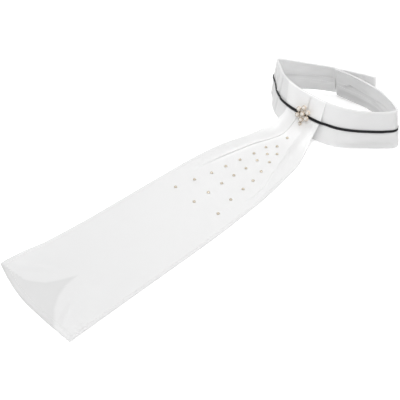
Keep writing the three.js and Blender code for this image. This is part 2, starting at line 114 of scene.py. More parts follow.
# The band's length and height, the steps of its grids, how far in from its edges its relief is whole, and
# between which places round it the front lies.
BAND_WALL = 2.2
BAND_LENGTH = 412.0
BAND_HEIGHT = 45.0
BAND_STEP = 1.5
BAND_FRAME_STEPS = (72, 3)
BAND_MARGIN = 4
FRONT_WINDOW = (0.21, 0.66)
# The outer end's painted light, a whiter colour on its flap, starts at this distance from the inner end.
BAND_LIT_START = 397.0
BAND_LIT_RUN = 8.0
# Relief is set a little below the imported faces, so that its swells stay inside them.
RELIEF_DROP = 0.1
INNER_SWELL_SHARE = 0.8
# Creases, a row for each: where its run starts and ends, its half width and its height, below 0 for a valley.
# On the band the first of a pair is the distance round it from the inner end and the second the height.
BAND_OUTER_CREASES = (
    (103, 40, 108, 2, 1.6, -0.7),
    (109, 42, 112, 4, 1.2, 0.5),
    (121, 39, 120, 25, 1.5, -0.4),
    (130, 20, 178, 19.6, 1.2, -0.35),
    (130, 8, 176, 4.5, 3.5, -0.3),
    (296, 36, 286, 8, 2.2, -0.5),
    (306, 40, 300, 12, 1.6, 0.45),
    (314, 36, 310, 6, 1.8, -0.5),
    # The next valley's painted shade stands in for the tail's shadow on the band beside it.
    (207, 20, 209, 2, 4.0, -0.7),
    (281, 38, 276, 8, 2.6, -0.6),
    (290, 33, 282, 14, 1.4, 0.5),
    (301, 30, 296, 10, 1.5, -0.6),
)
BAND_INNER_CREASES = (
    (12.7, 20.1, 20.5, 24.6, 1.0, -1.0),
    (20.5, 24.6, 57.7, 24.0, 1.5, -0.7),
    (24, 28, 60, 28.4, 1.8, 0.5),
    (61.7, 25.6, 80.8, 26.1, 1.0, -0.8),
    (59, 22.6, 77, 20.6, 1.0, 0.8),
    (55.4, 20.2, 71.4, 16.1, 1.0, -0.8),
    (52, 17.6, 67, 12.2, 1.0, 0.7),
    (10, 9, 58, 9.6, 4.0, -0.8),
    (343, 31, 376, 33.5, 1.6, 0.6),
    (356, 16.5, 378, 14.5, 1.3, 0.6),
    (336, 21.5, 392, 23.5, 2.4, -0.7),
    (382, 12, 394, 16, 1.4, 0.6),
)
# How far painted shade greys the band's cloth, from 0 to 1, a row for each distance from the inner end: on
# its outer face, and on its inner face at the foot and at the top.
BAND_SHADE_COLUMNS = ("run", "outer", "foot", "top")
BAND_SHADE_TABLE = np.array([
    (0, 0.40, 1.00, 0.40),
    (13, 0.40, 0.97, 0.40),
    (30, 0.40, 0.88, 0.46),
    (42, 0.40, 0.76, 0.40),
    (56, 0.42, 0.72, 0.18),
    (79, 0.42, 0.45, 0.04),
    (100, 0.43, 0.30, 0.05),
    (135, 0.49, 0.25, 0.05),
    (160, 0.47, 0.25, 0.05),
    (180, 0.35, 0.25, 0.05),
    (198, 0.22, 0.25, 0.05),
    (258, 0.28, 0.25, 0.05),
    (272, 0.40, 0.20, 0.02),
    (300, 0.44, 0.15, 0.05),
    (336, 0.46, 0.35, 0.14),
    (348, 0.42, 0.70, 0.16),
    (356, 0.40, 0.68, 0.16),
    (375, 0.40, 0.78, 0.30),
    (396, 0.40, 0.75, 0.45),
    (402, 0.34, 0, 0),
])
# How much a crease's valley greys the outer and the inner face with painted shade, and how much the mottle
# does.
OUTER_SHADE_SHARES = (0.4, 0.02)
INNER_SHADE_SHARES = (0.25, 0.05)

# The front panel: the x of its right and left corners on top and below, where its lower edge lies, and how
# far its face stands up. It ends over a step of the length given.
PANEL_WALL = 1.0
PANEL_TOP = (18.3, -35.5)
PANEL_LOW = (17.8, -30.0)
PANEL_LOW_SHARE = 0.462
PANEL_STEP_LENGTH = 5
PANEL_HEIGHT = 24.0
PANEL_STEP = 1.0
PANEL_MARGIN = 3
PANEL_RISE = 0.1
# On the front panel a crease's pair is the x and the height over the panel's lower edge.
PANEL_CREASES = ((-0.8, 20, -1.3, 8, 1.1, -0.5),)

# The piping: how high up the band it runs, its size, its gap, where it ends, and the seam that it lies in.
PIPING_HEIGHT_SHARE = 0.485
PIPING_WIDTH = 3.0
PIPING_RISE = 1.05
PIPING_FOOT_SHARE = 0.3
PIPING_END = 0.05
PIPING_GAP = 0.12
PIPING_ENDS = (10 / 72, 71 / 72)
PIPING_ROWS = 300
PIPING_SIDES = 13
PIPING_UNDERSIDE = (0.78, 0, -0.78)
PIPING_FULLNESS = 0.8
PIPING_SEAM_DEPTH = 0.4
PIPING_SEAM_WIDTH = 1.5
# Where the piping turns the band's right end it is pressed flat: the place, the length and the share lost.
PIPING_TURN = {"around": 0.198, "run": 14.0, "share": 0.75}

# The tail's mid-surface, a row for each station from the seam under the piping to the free end: the path's
# place, the side edges, the two folds that show, the cloth hidden in each pleat, the length of a fold's arc,
# and the share of the band's roundness that the cloth follows.
TAIL_COLUMNS = (
    "y", "z", "left", "right", "left_fold", "right_fold", "left_hidden", "right_hidden", "arc", "wrap",
)
TAIL_TABLE = np.array([
    (-44.6, 20.2, -29.5, 17.4, -11.4, 3.4, 23, 15, 2.05, 1),
    (-46.4, 15.5, -29.8, 16.6, -11.5, 3.4, 22.6, 14.6, 2.05, 0.8),
    (-50.6, 11.2, -30.8, 16.6, -11.7, 3.6, 22, 14, 2.05, 0.55),
    (-57.5, 7.2, -32.4, 18.2, -12.0, 4.0, 21, 13.4, 2.1, 0.3),
    (-67.5, 3.9, -34.6, 22.0, -12.6, 5.0, 19, 12.6, 2.15, 0.12),
    (-82, 1.7, -38.4, 27.4, -18, 8.6, 13, 11, 2.3, 0.03),
    (-98, 0.7, -43.0, 32.4, -24.8, 14, 6, 6.5, 2.6, 0),
    (-118, 0.5, -48.6, 36.0, -29, 20, 2.4, 2.6, 2.5, 0),
    (-138, 0.5, -51.6, 39.0, -32.4, 27, 1.1, 1.1, 2.5, 0),
    (-158, 0.5, -53.2, 41.6, -36, 32, 0.3, 0.3, 2.8, 0),
    (-180, 0.5, -53.8, 43.4, -38, 34, 0, 0, 3.2, 0),
    (-230, 0.5, -54.0, 46.0, -38, 34, 0, 0, 3.5, 0),
    (-290, 0.5, -54.0, 46.8, -38, 34, 0, 0, 3.5, 0),
    (-340, 0.5, -54.0, 47.2, -38, 34, 0, 0, 3.5, 0),
    (-391, 0.5, -54.0, 48.0, -38, 34, 0, 0, 3.5, 0),
])
# The tail's wall is finer than the imported one, so its folds are tighter by the share given.
TAIL_WALL = 0.56
FOLD_SHARE = 0.5
TAIL_LOWEST = 0.5
TAIL_MIDDLE = -4
TAIL_HALF_WIDTH = 50
TAIL_STEP = 1.5
TAIL_PLACES = 2000
FLAP_STEPS = 20
CENTRE_STEPS = 44
TAIL_MARGIN = 2
# How the tail's end edge bows out in its middle and draws back at its left corner.
TAIL_END_BOW = 1.6
TAIL_LEFT_DRAW = 6.8
TAIL_BOW_START = -335
TAIL_BOW_RUN = 56
# A pleat's least underlay, and the slope, the clearance and the least width of the flap over it.
UNDERLAY_LEAST = 0.5
FLAP_SLOPE = 0.35
FLAP_CLEARANCE = 0.6
FLAP_LEAST = 0.5
# How high each corner of the tail's end stands off the surface, and where and how its lift starts.
LEFT_CORNER = {"lift": 6.0, "start": -285, "reach": 50, "run": 106, "power": 1.6}
RIGHT_CORNER = {"lift": 0.6, "start": -345, "reach": 52, "run": 46, "power": 1.5}
# The dent in the tail's end: its tip, the slopes of its two sides, and the rise of the cloth beside it.
DENT = {"x": -2.8, "y": -341, "left_slope": 0.95, "right_slope": 0.62, "rise": 2.0, "shoulder": 9, "run": 26,
        "settle_start": 17, "settle_run": 24}
# The dent's outline, a row for each distance past its tip: how far it reaches to the left and the right.
DENT_COLUMNS = ("past", "left", "right")
DENT_TABLE = np.array([
    (0, 0, 0),
    (17, 7.3, 2.6),
    (28, 13.2, 7.6),
    (38.7, 25.8, 16.5),
    (41.3, 38, 20),
    (46, 60, 27),
    (54, 90, 36),
])
# How far painted shade greys the dent's hollow, inside its edge and all along the darker line beside that.
DENT_SHADE = 0.26
DENT_EDGE = 2.4
DENT_LINE = 4.0
DENT_SHADE_SHARES = (0.8, 0.35)
# The tail's relief starts this far from its seam and is whole after this run, and its underside shows only a
# little of it.
TAIL_RELIEF_START = 6
TAIL_RELIEF_RUN = 20
INNER_RELIEF_MOST = 0.3
# The hems: how wide they are, over which length their doubled cloth steps up and how far, how deep and wide
# their seams lie, and how far the puckers reach. The sides' are a share of the end's.
TAIL_HEM = 5.0
TAIL_SIDE_HEM = 3.0
HEM_STEP = 1.0
SIDE_HEM_STEP = 0.8
HEM_RISE = 0.28
SIDE_HEM_SHARE = 0.55
SEAM_DEPTH = 0.3
SEAM_WIDTH = 0.7
SIDE_SEAM_SHARE = 0.7
SIDE_SEAM_WIDTH = 0.6
PUCKER_RUN = 3.2

# The stitches: their thread, how far they lie off the cloth, their pitch in stitch lengths, the shares of the
# band's height where their rows run, and the rows left free at the band's ends.
THREAD_WIDTH = 0.34
STITCH_SIDES = 5
STITCH_LIFT = 0.02
BAND_STITCH_PITCH = 1.35
TAIL_STITCH_PITCH = 1.3
BAND_STITCH_SHARES = (0.06, 0.43, 0.54, 0.94)
STITCH_END_ROWS = 6
# One stitch, a row for each ring of it: its place along the length, its thickness and its rise off the cloth.
STITCH_PROFILE = ((-0.5, 0.35, -0.6), (-0.3, 0.85, 0.25), (0, 1, 0.6), (0.3, 0.85, 0.25), (0.5, 0.35, -0.6))
# The side hem's stitches lie within this many columns of the edge, and start at this row of the grid.
HEM_COLUMNS = 40
SIDE_STITCH_START = 60

# Tones of the cloth, as shares of its colour: between the threads, in the clouds of tone, and under full
# painted shade.
THREAD_TONES = (0.93, 0.965, 1.015)
SHADED_TONE = 0.55
# The tail's lower end is painted darker from this distance on, as painted shade.
TAIL_SHADE_START = 120.0
TAIL_SHADE_RUN = 250.0
# How far painted shade greys the cloth, from 0 to 1, and over which lengths: past the knot but for the left
# fold's edge, which stays lighter as painted light, on the panel and its left edge, at the tail's left
# corner, and round its hem.
PAST_KNOT_SHADE = 0.38
KNOT_LENGTH = 14.0
KNOT_RUN = 30.0
FOLD_LIGHT_REACH = 2.8
FOLD_LIGHT_DEPTH = 2.0
PANEL_SHADE = 0.08
PANEL_EDGE_SHADE = 0.24
PANEL_EDGE_RUN = 3.0
CORNER_SHADE = 0.3
CORNER_RUN = 14.0
HEM_SHADE = 0.4
HEM_RUN = 1.0
# Slow swells of the cloth, a row for each: stretch of the second direction, size, seed and height.
BAND_SWELLS = ((1.3, 46, 3, 0.16), (1, 15, 4, 0.06))
BAND_MOTTLE = ((2.2, 26, 9, 1),)
PANEL_SWELLS = ((1, 20, 8, 0.1),)
TAIL_SWELLS = ((0.5, 38, 12, 0.14), (1, 13, 13, 0.03))
HEM_PUCKERS = ((1, 5, 31, 0.12),)
PIPING_SWELLS = ((1, 7, 21, 0.05),)
TAPE_SWELLS = ((1, 1.6, 5, 0.12),)

# The brooch: where it sits, its petals' ring, its cups and stones, and its drop.
BROOCH_CENTRE = np.array((-3.0, -47.6, 25.4))
BROOCH_LEAN = math.radians(15)
PETALS = 6
PETAL_RING = 6.6
OPENING_RING = 5.2
PETAL_CUP = 2.6
HUB_CUP = 2.7
HUB_RISE = 0.25
CUP_HEIGHT = 1.8
CUP_SIDES = 36
STONE_RADIUS = 2.0
STONE_GIRDLE = 0.9
STONE_CROWN = 1.28
STONE_TABLE = 0.56
FACETS = 8
LOW_GIRDLE_SHARE = 0.5
KITE_SHARE = 0.62
DROP_PLACE = -11.3
DROP_RADIUS = 1.9
DROP_STONE_RADIUS = 1.25
DROP_FALL = 0.1
# Its wires, claws and beads.
WIRE_RADIUS = 0.42
WIRE_HEIGHT = 0.75
WIRE_INSET = 0.3
WIRE_WAIST = 0.8
WIRE_SIDES = 10
WIRE_RING_STEPS = (72, 8)
BEZEL_FOOT = 0.4
LIP = 0.28
CLAW_RISE = 0.95
CLAW_LENGTH = 1.9
CLAW_BEND = 0.75
CLAW_SIDES = 7
CLAW_TAPER = 2.6
CLAW_PROFILE = ((0.3, 0), (0.3, 0.5), (0.27, 1.0), (0.24, 1.4), (0.2, 1.75), (0.1, CLAW_LENGTH))
MILGRAIN = 0.24
MILGRAIN_INSET = 0.12
JOIN_BEAD = 0.62
JOIN_BEAD_SIDES = 10
BEAD_RINGS = 5
BEAD_END = 0.25
# The crystals, whose places come from the frame.
CRYSTALS = 23
CRYSTAL_RADIUS = 1.55
CRYSTAL_GIRDLE_SHARE = 0.35
CRYSTAL_TABLE = 0.5
CRYSTAL_SINK = 0.05
CRYSTAL_PLACES = 4000

# The closure's tapes, the strands on them, and the tuft at the end of one.
TAPE_WALL = 1.0
TAPE_EDGES = (0.2, 0.8)
LOOP_TAPE_ENDS = (-0.4 / 72, 5 / 72)
HOOK_TAPE_ENDS = (63 / 72, 69 / 72)
TAPE_HEIGHT = 24.0
TAPE_STEP = 0.6
TAPE_MARGIN = 1
TAPE_STRANDS = 900
STRAND_WIDTH = 0.09
STRAND_SINK = 0.1
STRAND_CURL = 2.6
STRAND_LEAN = 0.5
STRAND_STEPS = 6
STRAND_HINT = (0.31, 0.52, 0.8)
STRAND_EDGE = 2
STRAND_SEED = 17
LOOP_REACH = 0.42
HOOK_REACH = 0.34
TUFT_STRANDS = 260
TUFT_WIDTH = 0.11
TUFT_STEPS = 7

# The floor's drop under the tie and the camera's nearest distance, in metres.
FLOOR_DROP = 0.0002
CAMERA_NEAR = 0.01


def column_values(table, place):
    """Smooth values of a table's columns at a place counted in rows."""
    place = np.asarray(place, float)
    last = len(table) - 1
    index = np.clip(np.floor(place).astype(int), 0, last - 1)
    share = (place - index)[..., None]
    before, start, end, after = (table[np.clip(index + step, 0, last)] for step in (-1, 0, 1, 2))
    start_slope = (end - before) / 2
    end_slope = (after - start) / 2
    return (
        start * (2 * share**3 - 3 * share**2 + 1)
        + start_slope * (share**3 - 2 * share**2 + share)
        + end * (3 * share**2 - 2 * share**3)
        + end_slope * (share**3 - share**2)
    )


def table_column(table, columns, name, distance):
    """A table's column, read in straight lines between its rows; the first column is the distance."""
    return np.interp(distance, table[:, 0], table[:, columns.index(name)])


def smooth(value):
    share = np.clip(value, 0, 1)
    return share * share * (3 - 2 * share)


def unit(vectors):
    return vectors / np.linalg.norm(vectors, axis=-1, keepdims=True)


def edged(length, step, roll):
    """Shares from 0 to 1 at an even step, with closer ones where the cloth rolls over at both edges."""
    near = ROLL_SHARES * roll / length
    count = max(2, round((1 - 2 * near[-1]) * length / step))
    middle = np.linspace(near[-1], 1 - near[-1], count + 1)
    return np.concatenate([near[:-1], middle, 1 - near[-2::-1]])


def band_middle(around, up):
    around, up = np.broadcast_arrays(around, up)
    values = column_values(BAND_TABLE, np.clip(around, 0, 1) * (len(BAND_TABLE) - 1))
    top, foot = values[..., :3], values[..., 3:]
    return foot + (top - foot) * up[..., None]


def band_point(around, up, offset):
    """A point of the neck band: around from its inner to its outer end, up from its foot, offset outwards."""
    around, up, offset = np.broadcast_arrays(around, up, np.asarray(offset, float))
    start = np.clip(around, NUDGE, 1 - NUDGE)
    forward = band_middle(start + NUDGE, up) - band_middle(start - NUDGE, up)
    upward = band_middle(start, np.ones_like(start)) - band_middle(start, np.zeros_like(start))
    overrun = (around - np.clip(around, 0, 1))[..., None]
    outward = unit(np.cross(upward, forward))
    return band_middle(around, up) + forward * overrun / (2 * NUDGE) + outward * offset[..., None]


def around_at_x(x, up):
    """The place round the band where its front passes a given x."""
    x, up = np.broadcast_arrays(np.asarray(x, float), np.asarray(up, float))
    right = np.full(x.shape, FRONT_WINDOW[0])
    left = np.full(x.shape, FRONT_WINDOW[1])
    for _ in range(BISECTIONS):
        middle = (right + left) / 2
        past = band_middle(middle, up)[..., 0] > x
        right = np.where(past, middle, right)
        left = np.where(past, left, middle)
    return (right + left) / 2


def row_shift():
    """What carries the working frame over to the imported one, from the band's own box."""
    around = np.linspace(0, 1, BAND_FRAME_STEPS[0] + 1)[:, None]
    up = np.linspace(0, 1, BAND_FRAME_STEPS[1] + 1)[None, :]
    faces = [band_point(around, up, side * BAND_WALL / 2) for side in (-1, 1)]
    low = np.concatenate(faces).reshape(-1, 3).min(0)
    packed = np.array(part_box("collar_band")[0])
    return np.array((*(packed[:2] - low[:2] * MM), 0))


SHIFT = row_shift()


def work_to_row(points):
    return np.asarray(points) * MM + SHIFT


def piping_seat(around):
    """The piping's seat over the band's mid-surface; it stands prouder where it crosses the front panel."""
    x = band_middle(around, np.full_like(around, PIPING_HEIGHT_SHARE))[..., 0]
    at_front = (around > FRONT_WINDOW[0]) & (around < FRONT_WINDOW[1])
    from_right = smooth((PANEL_TOP[0] + PANEL_STEP_LENGTH - x) / PANEL_STEP_LENGTH)
    from_left = smooth((x - PANEL_TOP[1] + 2 * PANEL_STEP_LENGTH) / PANEL_STEP_LENGTH)
    over_panel = np.where(at_front, from_right * from_left, 0)
    return BAND_WALL / 2 + PIPING_GAP + over_panel * (PANEL_WALL + TOUCH_GAP)


def tail_value(place, column):
    return column_values(TAIL_TABLE, place)[..., TAIL_COLUMNS.index(column)]


def corner_lift(corner, across, y):
    along = np.maximum(0, (corner["start"] - y) / corner["run"])
    return corner["lift"] * smooth(across / corner["reach"]) * along ** corner["power"]


def lift_at(x, y):
    """How far the tail's lower end stands off the surface: its two corners and the sides of its dent."""
    past = np.maximum(0, DENT["y"] - y)
    left_out = (DENT["x"] - past * DENT["left_slope"] - x) / DENT["shoulder"]
    right_out = (x - DENT["x"] - past * DENT["right_slope"]) / DENT["shoulder"]
    settled = 1 - smooth((x - DENT["settle_start"]) / DENT["settle_run"])
    shoulder = smooth(np.maximum(left_out, right_out)) * smooth(past / DENT["run"]) * settled
    corners = corner_lift(LEFT_CORNER, TAIL_MIDDLE - x, y) + corner_lift(RIGHT_CORNER, x - TAIL_MIDDLE, y)
    return corners + DENT["rise"] * shoulder


def bow_at(x, y):
    """How far the end edge bows out in its middle; towards its left corner it draws back."""
    share = (x - TAIL_MIDDLE) / TAIL_HALF_WIDTH
    drawn = np.where(share < 0, TAIL_LEFT_DRAW, TAIL_END_BOW)
    return (TAIL_END_BOW - drawn * share * share) * smooth((TAIL_BOW_START - y) / TAIL_BOW_RUN)


def front_depth(x):
    low = np.full_like(x, PANEL_LOW_SHARE)
    return band_middle(around_at_x(x, low), low)[..., 1]


def tail_base(place, x):
    """The tail's surface without its pleats."""
    place, x = np.broadcast_arrays(np.asarray(place, float), np.asarray(x, float))
    y = tail_value(place, "y")
    wrap = np.maximum(0, tail_value(place, "wrap"))
    middle_depth = front_depth(np.array([float(TAIL_MIDDLE)]))[0]
    rounded = np.zeros_like(x)
    wrapped = wrap > 0
    rounded[wrapped] = wrap[wrapped] * (front_depth(x[wrapped]) - middle_depth)
    z = np.maximum(TAIL_LOWEST, tail_value(place, "z"))
    return np.stack([x, y + rounded - bow_at(x, y), z + lift_at(x, y)], axis=-1)


def tail_point(place, x, height):
    start = np.clip(place, TAIL_NUDGE, len(TAIL_TABLE) - 1 - TAIL_NUDGE)
    along = tail_base(start + TAIL_NUDGE, x) - tail_base(start - TAIL_NUDGE, x)
    across = tail_base(start, x + TAIL_NUDGE) - tail_base(start, x - TAIL_NUDGE)
    outward = unit(np.cross(along, across))
    return tail_base(place, x) + outward * np.asarray(height)[..., None]


def fold_turn(share):
    """The angle that a fold turns through when it takes up a given share of its two arcs."""
    low, high = LEAST_TURN, math.pi
    for _ in range(BISECTIONS):
        middle = (low + high) / 2
        if 1 - math.sin(middle) / middle < share:
            low = middle
        else:
            high = middle
    return (low + high) / 2


def pleat_section(hidden, arc, arc_steps=10, underlay_steps=5):
    """One pleat from the flap's end: an arc, a straight underlay and an arc back down to height 0."""
    turn = fold_turn(min(1, hidden / (2 * arc)))
    radius = arc / turn
    underlay = UNDERLAY_LEAST + max(0, hidden / 2 - arc)
    height = 2 * radius * (1 - math.cos(turn)) + underlay * math.sin(turn)
    angle = np.linspace(0, turn, arc_steps + 1)
    first = np.stack([radius * np.sin(angle), height - radius * (1 - np.cos(angle))], axis=-1)
    lowest = first[-1] + underlay * np.array((math.cos(turn), -math.sin(turn)))
    run = np.linspace(0, 1, underlay_steps + 1)[1:-1, None]
    straight = first[-1] + (lowest - first[-1]) * run
    back = angle[::-1]
    second = np.stack([
        lowest[0] + radius * (math.sin(turn) - np.sin(back)),
        lowest[1] - radius * (np.cos(back) - math.cos(turn)),
    ], axis=-1)
    return np.concatenate([first, straight, second]), height


def half_section(edge, fold, hidden, arc, side):
    """A flap and its pleat, from the side edge inwards; side is 1 on the left and -1 on the right."""
    pleat, height = pleat_section(hidden, arc * FOLD_SHARE)
    start = side * fold - min(pleat[:, 0].max(), arc * FOLD_SHARE)
    ramp_end = start + min(0, pleat[:, 0].min()) - FLAP_CLEARANCE
    ramp_start = side * edge
    width = max(ramp_end - ramp_start, FLAP_LEAST)
    edge_height = max(0, height - FLAP_SLOPE * width)
    rolled = ROLL_SHARES * TAIL_WALL / 2 / width
    share = np.concatenate([rolled[:-1], np.linspace(rolled[-1], 1, FLAP_STEPS + 1)[:-1]])
    ramp = np.stack([
        ramp_start + width * share,
        edge_height + (height - edge_height) * smooth(share),
    ], axis=-1)
    section = np.concatenate([ramp, pleat + (start, 0)])
    return section * (side, 1)


def tail_section(place):
    value = dict(zip(TAIL_COLUMNS, column_values(TAIL_TABLE, place)))
    left = half_section(value["left"], value["left_fold"], max(0, value["left_hidden"]), value["arc"], 1)
    right = half_section(value["right"], value["right_fold"], max(0, value["right_hidden"]), value["arc"], -1)
    share = np.linspace(0, 1, CENTRE_STEPS + 1)[1:-1, None]
    centre = left[-1] + (right[-1] - left[-1]) * share
    return np.concatenate([left, centre, right[::-1]])[::-1]


def tail_places():
    """Rows down the tail at an even step, closer at both ends."""
    fine = np.linspace(0, len(TAIL_TABLE) - 1, TAIL_PLACES)
    run = -tail_value(fine, "y")
    drop = np.abs(np.gradient(tail_value(fine, "z")))
    length = np.concatenate([[0], np.cumsum(np.hypot(np.diff(run), drop[1:]))])
    return np.interp(edged(length[-1], TAIL_STEP, TAIL_WALL / 2) * length[-1], length, fine)


def crease_relief(creases, across, along):
    """Height of a table of creases at surface places, each a soft ridge or valley on a straight run."""
    height = np.zeros(np.broadcast(across, along).shape)
    for from_x, from_y, to_x, to_y, width, depth in creases:
        run = np.array((to_x - from_x, to_y - from_y))
        length = np.hypot(*run)
        share = ((across - from_x) * run[0] + (along - from_y) * run[1]) / length**2
        off = ((across - from_x) * run[1] - (along - from_y) * run[0]) / length
        past = np.maximum(0, np.abs(share - 0.5) - 0.5) * length
        height += depth * np.exp(-((off / width) ** 2) - (past / (2 * width)) ** 2)
    return height


def crease_shade(creases, across, along):
    """Painted shade of a table of creases, how far it greys the cloth: its valleys only, up to 1."""
    return np.clip(-crease_relief(creases, across, along), 0, 1)


def ripple(across, along, size, seed):
    """A slow random swell between about -1 and 1, the same for the same seed."""
    chooser = random.Random(seed)
    height = 0
    for _ in range(RIPPLE_WAVES):
        turn = chooser.uniform(0, 2 * math.pi)
        wave = 2 * math.pi / (size * chooser.uniform(*RIPPLE_SPREAD))
        phase = chooser.uniform(0, 2 * math.pi)
        place = across * math.cos(turn) + along * math.sin(turn)
        height = height + np.sin(wave * place + phase) / RIPPLE_WAVES
    return height


def swell(across, along, waves):
    """The sum of a table's ripples."""
    return sum(ripple(across, along * stretch, size, seed) * height for stretch, size, seed, height in waves)


def grid_normals(points):
    return unit(np.cross(np.gradient(points, axis=1), np.gradient(points, axis=0)))


def flat_places(points, centre):
    """Where grid points lie on the cloth laid flat, across from the centre column and along from row 0."""
    across = np.linalg.norm(np.diff(points, axis=1), axis=-1)
    across = np.concatenate([np.zeros((len(points), 1)), np.cumsum(across, axis=1)], axis=1)
    across -= across[:, centre:centre + 1]
    along = np.linalg.norm(np.diff(points[:, centre], axis=0), axis=-1)
    along = np.concatenate([[0], np.cumsum(along)])
    return np.stack([across, np.broadcast_to(along[:, None], across.shape)], axis=-1)


def edge_distances(flat):
    """Distance from each grid point to the cloth's side edges and to its end edges."""
    across, along = flat[..., 0], flat[..., 1]
    sides = np.minimum(across - across[:, :1], across[:, -1:] - across)
    ends = np.minimum(along, along.max() - along)
    return sides, ends


def roll(distance, radius):
    """The share of its thickness that a rolled edge has at a distance from the edge."""
    return np.sqrt(1 - (1 - np.clip(distance / radius, 0, 1)) ** 2)


def rolled_wall(middle, wall, margin, centre=0):
    """What a cloth wall with rolled edges is made from, on a grid of mid-surface points.

    Gives the grid laid flat, its distances to the side edges and to the end edges, half the wall's thickness,
    and the share of its relief that the cloth has, which grows from 0 at the edges to 1 over the margin.
    """
    flat = flat_places(middle, centre)
    sides, ends = edge_distances(flat)
    half = wall / 2 * roll(sides, wall / 2) * roll(ends, wall / 2)
    return flat, sides, ends, half, np.clip(np.minimum(sides, ends) / margin, 0, 1)


def tube_faces(rows, columns):
    """The faces of a tube on rings of points, each of its two ends closed by one face."""
    index = np.arange(rows * columns).reshape(rows, columns)
    ahead = np.roll(index, -1, axis=1)
    sides = np.stack([index[:-1], ahead[:-1], ahead[1:], index[1:]], axis=-1).reshape(-1, 4)
    return [tuple(face) for face in (*sides.tolist(), index[0, ::-1].tolist(), index[-1].tolist())]


def make_piece(name, points, faces, paint, slot, nodes=(), flat=None, sharp=False, painted_shade=None):
    """A mesh piece of the tie, from points in the working frame, that rides on the frame's one body."""
    mesh = bpy.data.meshes.new(name)
    mesh.from_pydata(work_to_row(points).tolist(), [], faces)
    if flat is not None:
        corners = np.zeros(len(mesh.loops), np.int32)
        mesh.loops.foreach_get("vertex_index", corners)
        layer = mesh.uv_layers.new(name=FLAT_MAP)
        layer.uv.foreach_set("vector", (flat[corners] * MM).astype(np.float32).ravel())
    if painted_shade is not None:
        mesh.attributes.new(SHADE_ATTRIBUTE, "FLOAT", "POINT").data.foreach_set("value", painted_shade.astype(np.float32))
    mesh.polygons.foreach_set("use_smooth", np.full(len(mesh.polygons), not sharp))
    mesh.materials.append(paint)
    mesh.validate()
    piece = bpy.data.objects.new(name, mesh)
    bpy.context.scene.collection.objects.link(piece)
    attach(piece, "root")
    if nodes:
        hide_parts(*nodes)
    return piece


def cloth_piece(name, middle, outer, inner, paint, slot, nodes=(), centre=0, painted_shade=None):
    """A closed cloth wall on a grid of mid-surface points, outer and inner being its two faces' heights.

    The last argument holds how far painted shade greys each face, from 0 to 1, first of the outer face and
    then of the inner one.
    """
    rows, columns = middle.shape[:2]
    normals = grid_normals(middle)
    flat = flat_places(middle, centre)
    front = np.arange(rows * columns).reshape(rows, columns)
    back = front.copy()
    back[1:-1, 1:-1] = rows * columns + np.arange((rows - 2) * (columns - 2)).reshape(rows - 2, columns - 2)
    points = np.concatenate([
        (middle + normals * outer[..., None]).reshape(-1, 3),
        (middle - normals * inner[..., None])[1:-1, 1:-1].reshape(-1, 3),
    ])
    places = np.concatenate([flat.reshape(-1, 2), flat[1:-1, 1:-1].reshape(-1, 2)])

    def quads(index, order):
        corners = (index[:-1, :-1], index[:-1, 1:], index[1:, 1:], index[1:, :-1])
        return np.stack([corners[place] for place in order], axis=-1).reshape(-1, 4)

    faces = np.concatenate([quads(front, (0, 1, 2, 3)), quads(back, (3, 2, 1, 0))])
    greyed = None if painted_shade is None else np.concatenate([painted_shade[0].ravel(), painted_shade[1][1:-1, 1:-1].ravel()])
    return make_piece(name, points, faces.tolist(), paint, slot, nodes, places, painted_shade=greyed)


def lathe(profile, sides, turn=0.0):
    """Points and faces of a profile of (radius, height) turned about Z, with its two ends closed."""
    angle = 2 * math.pi * (np.arange(sides) + turn) / sides
    ring = np.stack([np.sin(angle), np.cos(angle)], axis=-1)
    points = [np.column_stack([ring * radius, np.full(sides, height)]) for radius, height in profile]
    return np.concatenate(points), tube_faces(len(profile), sides)


def facing_out(points, faces):
    """The same closed part with its faces turned outwards."""
    points = np.asarray(points, float)
    triangles = [(face[0], face[step], face[step + 1]) for face in faces for step in range(1, len(face) - 1)]
    first, second, third = points[np.array(triangles)].transpose(1, 0, 2)
    volume = (first * np.cross(second, third)).sum()
    return points, faces if volume > 0 else [tuple(reversed(face)) for face in faces]


def join_parts(parts):
    """One set of points and faces from several closed parts, each turned outwards."""
    points, faces, start = [], [], 0
    for part_points, part_faces in (facing_out(*part) for part in parts):
        points.append(np.asarray(part_points, float))
        faces += [tuple(corner + start for corner in face) for face in part_faces]
        start += len(part_points)
    return np.concatenate(points), faces


def cut_stone(radius, rise, girdle, table_share):
    """A brilliant-cut stone: pavilion, girdle, kite and star facets, and a flat table on top, on +Z."""
    points, faces = [(0, 0, 0)], []

    def ring(ring_radius, height, turn):
        start = len(points)
        for side in range(FACETS):
            angle = 2 * math.pi * (side + turn) / FACETS
            points.append((ring_radius * math.sin(angle), ring_radius * math.cos(angle), height))
        return [start + side for side in range(FACETS)]

    def near(corners, side):
        return corners[side % FACETS]

    low_main = ring(radius, girdle * LOW_GIRDLE_SHARE, 0)
    low_between = ring(radius, girdle * LOW_GIRDLE_SHARE, 0.5)
    top_main = ring(radius, girdle, 0)
    top_between = ring(radius, girdle, 0.5)
    kite = ring(radius * (1 + table_share) / 2, girdle + (rise - girdle) * KITE_SHARE, 0)
    table = ring(radius * table_share, rise, 0.5)
    for side in range(FACETS):
        low_here, low_next = near(low_main, side), near(low_main, side + 1)
        top_here, top_next = near(top_main, side), near(top_main, side + 1)
        kite_here, kite_next = near(kite, side), near(kite, side + 1)
        low_mid, top_mid, star = near(low_between, side), near(top_between, side), near(table, side)
        faces += [
            (0, low_mid, low_here),
            (0, low_next, low_mid),
            (low_here, low_mid, top_mid, top_here),
            (low_mid, low_next, top_next, top_mid),
            (top_here, top_mid, kite_here),
            (top_mid, top_next, kite_next),
            (kite_here, top_mid, star),
            (star, top_mid, kite_next),
            (kite_next, near(table, side + 1), star),
        ]
    faces.append(tuple(table[::-1]))
    return np.array(points), [tuple(face[::-1]) for face in faces]


def placed(part, matrix, centre):
    """A part's points turned by a matrix whose columns are its axes, and moved to a centre."""
    points, faces = part
    return np.asarray(points) @ np.asarray(matrix).T + centre, faces


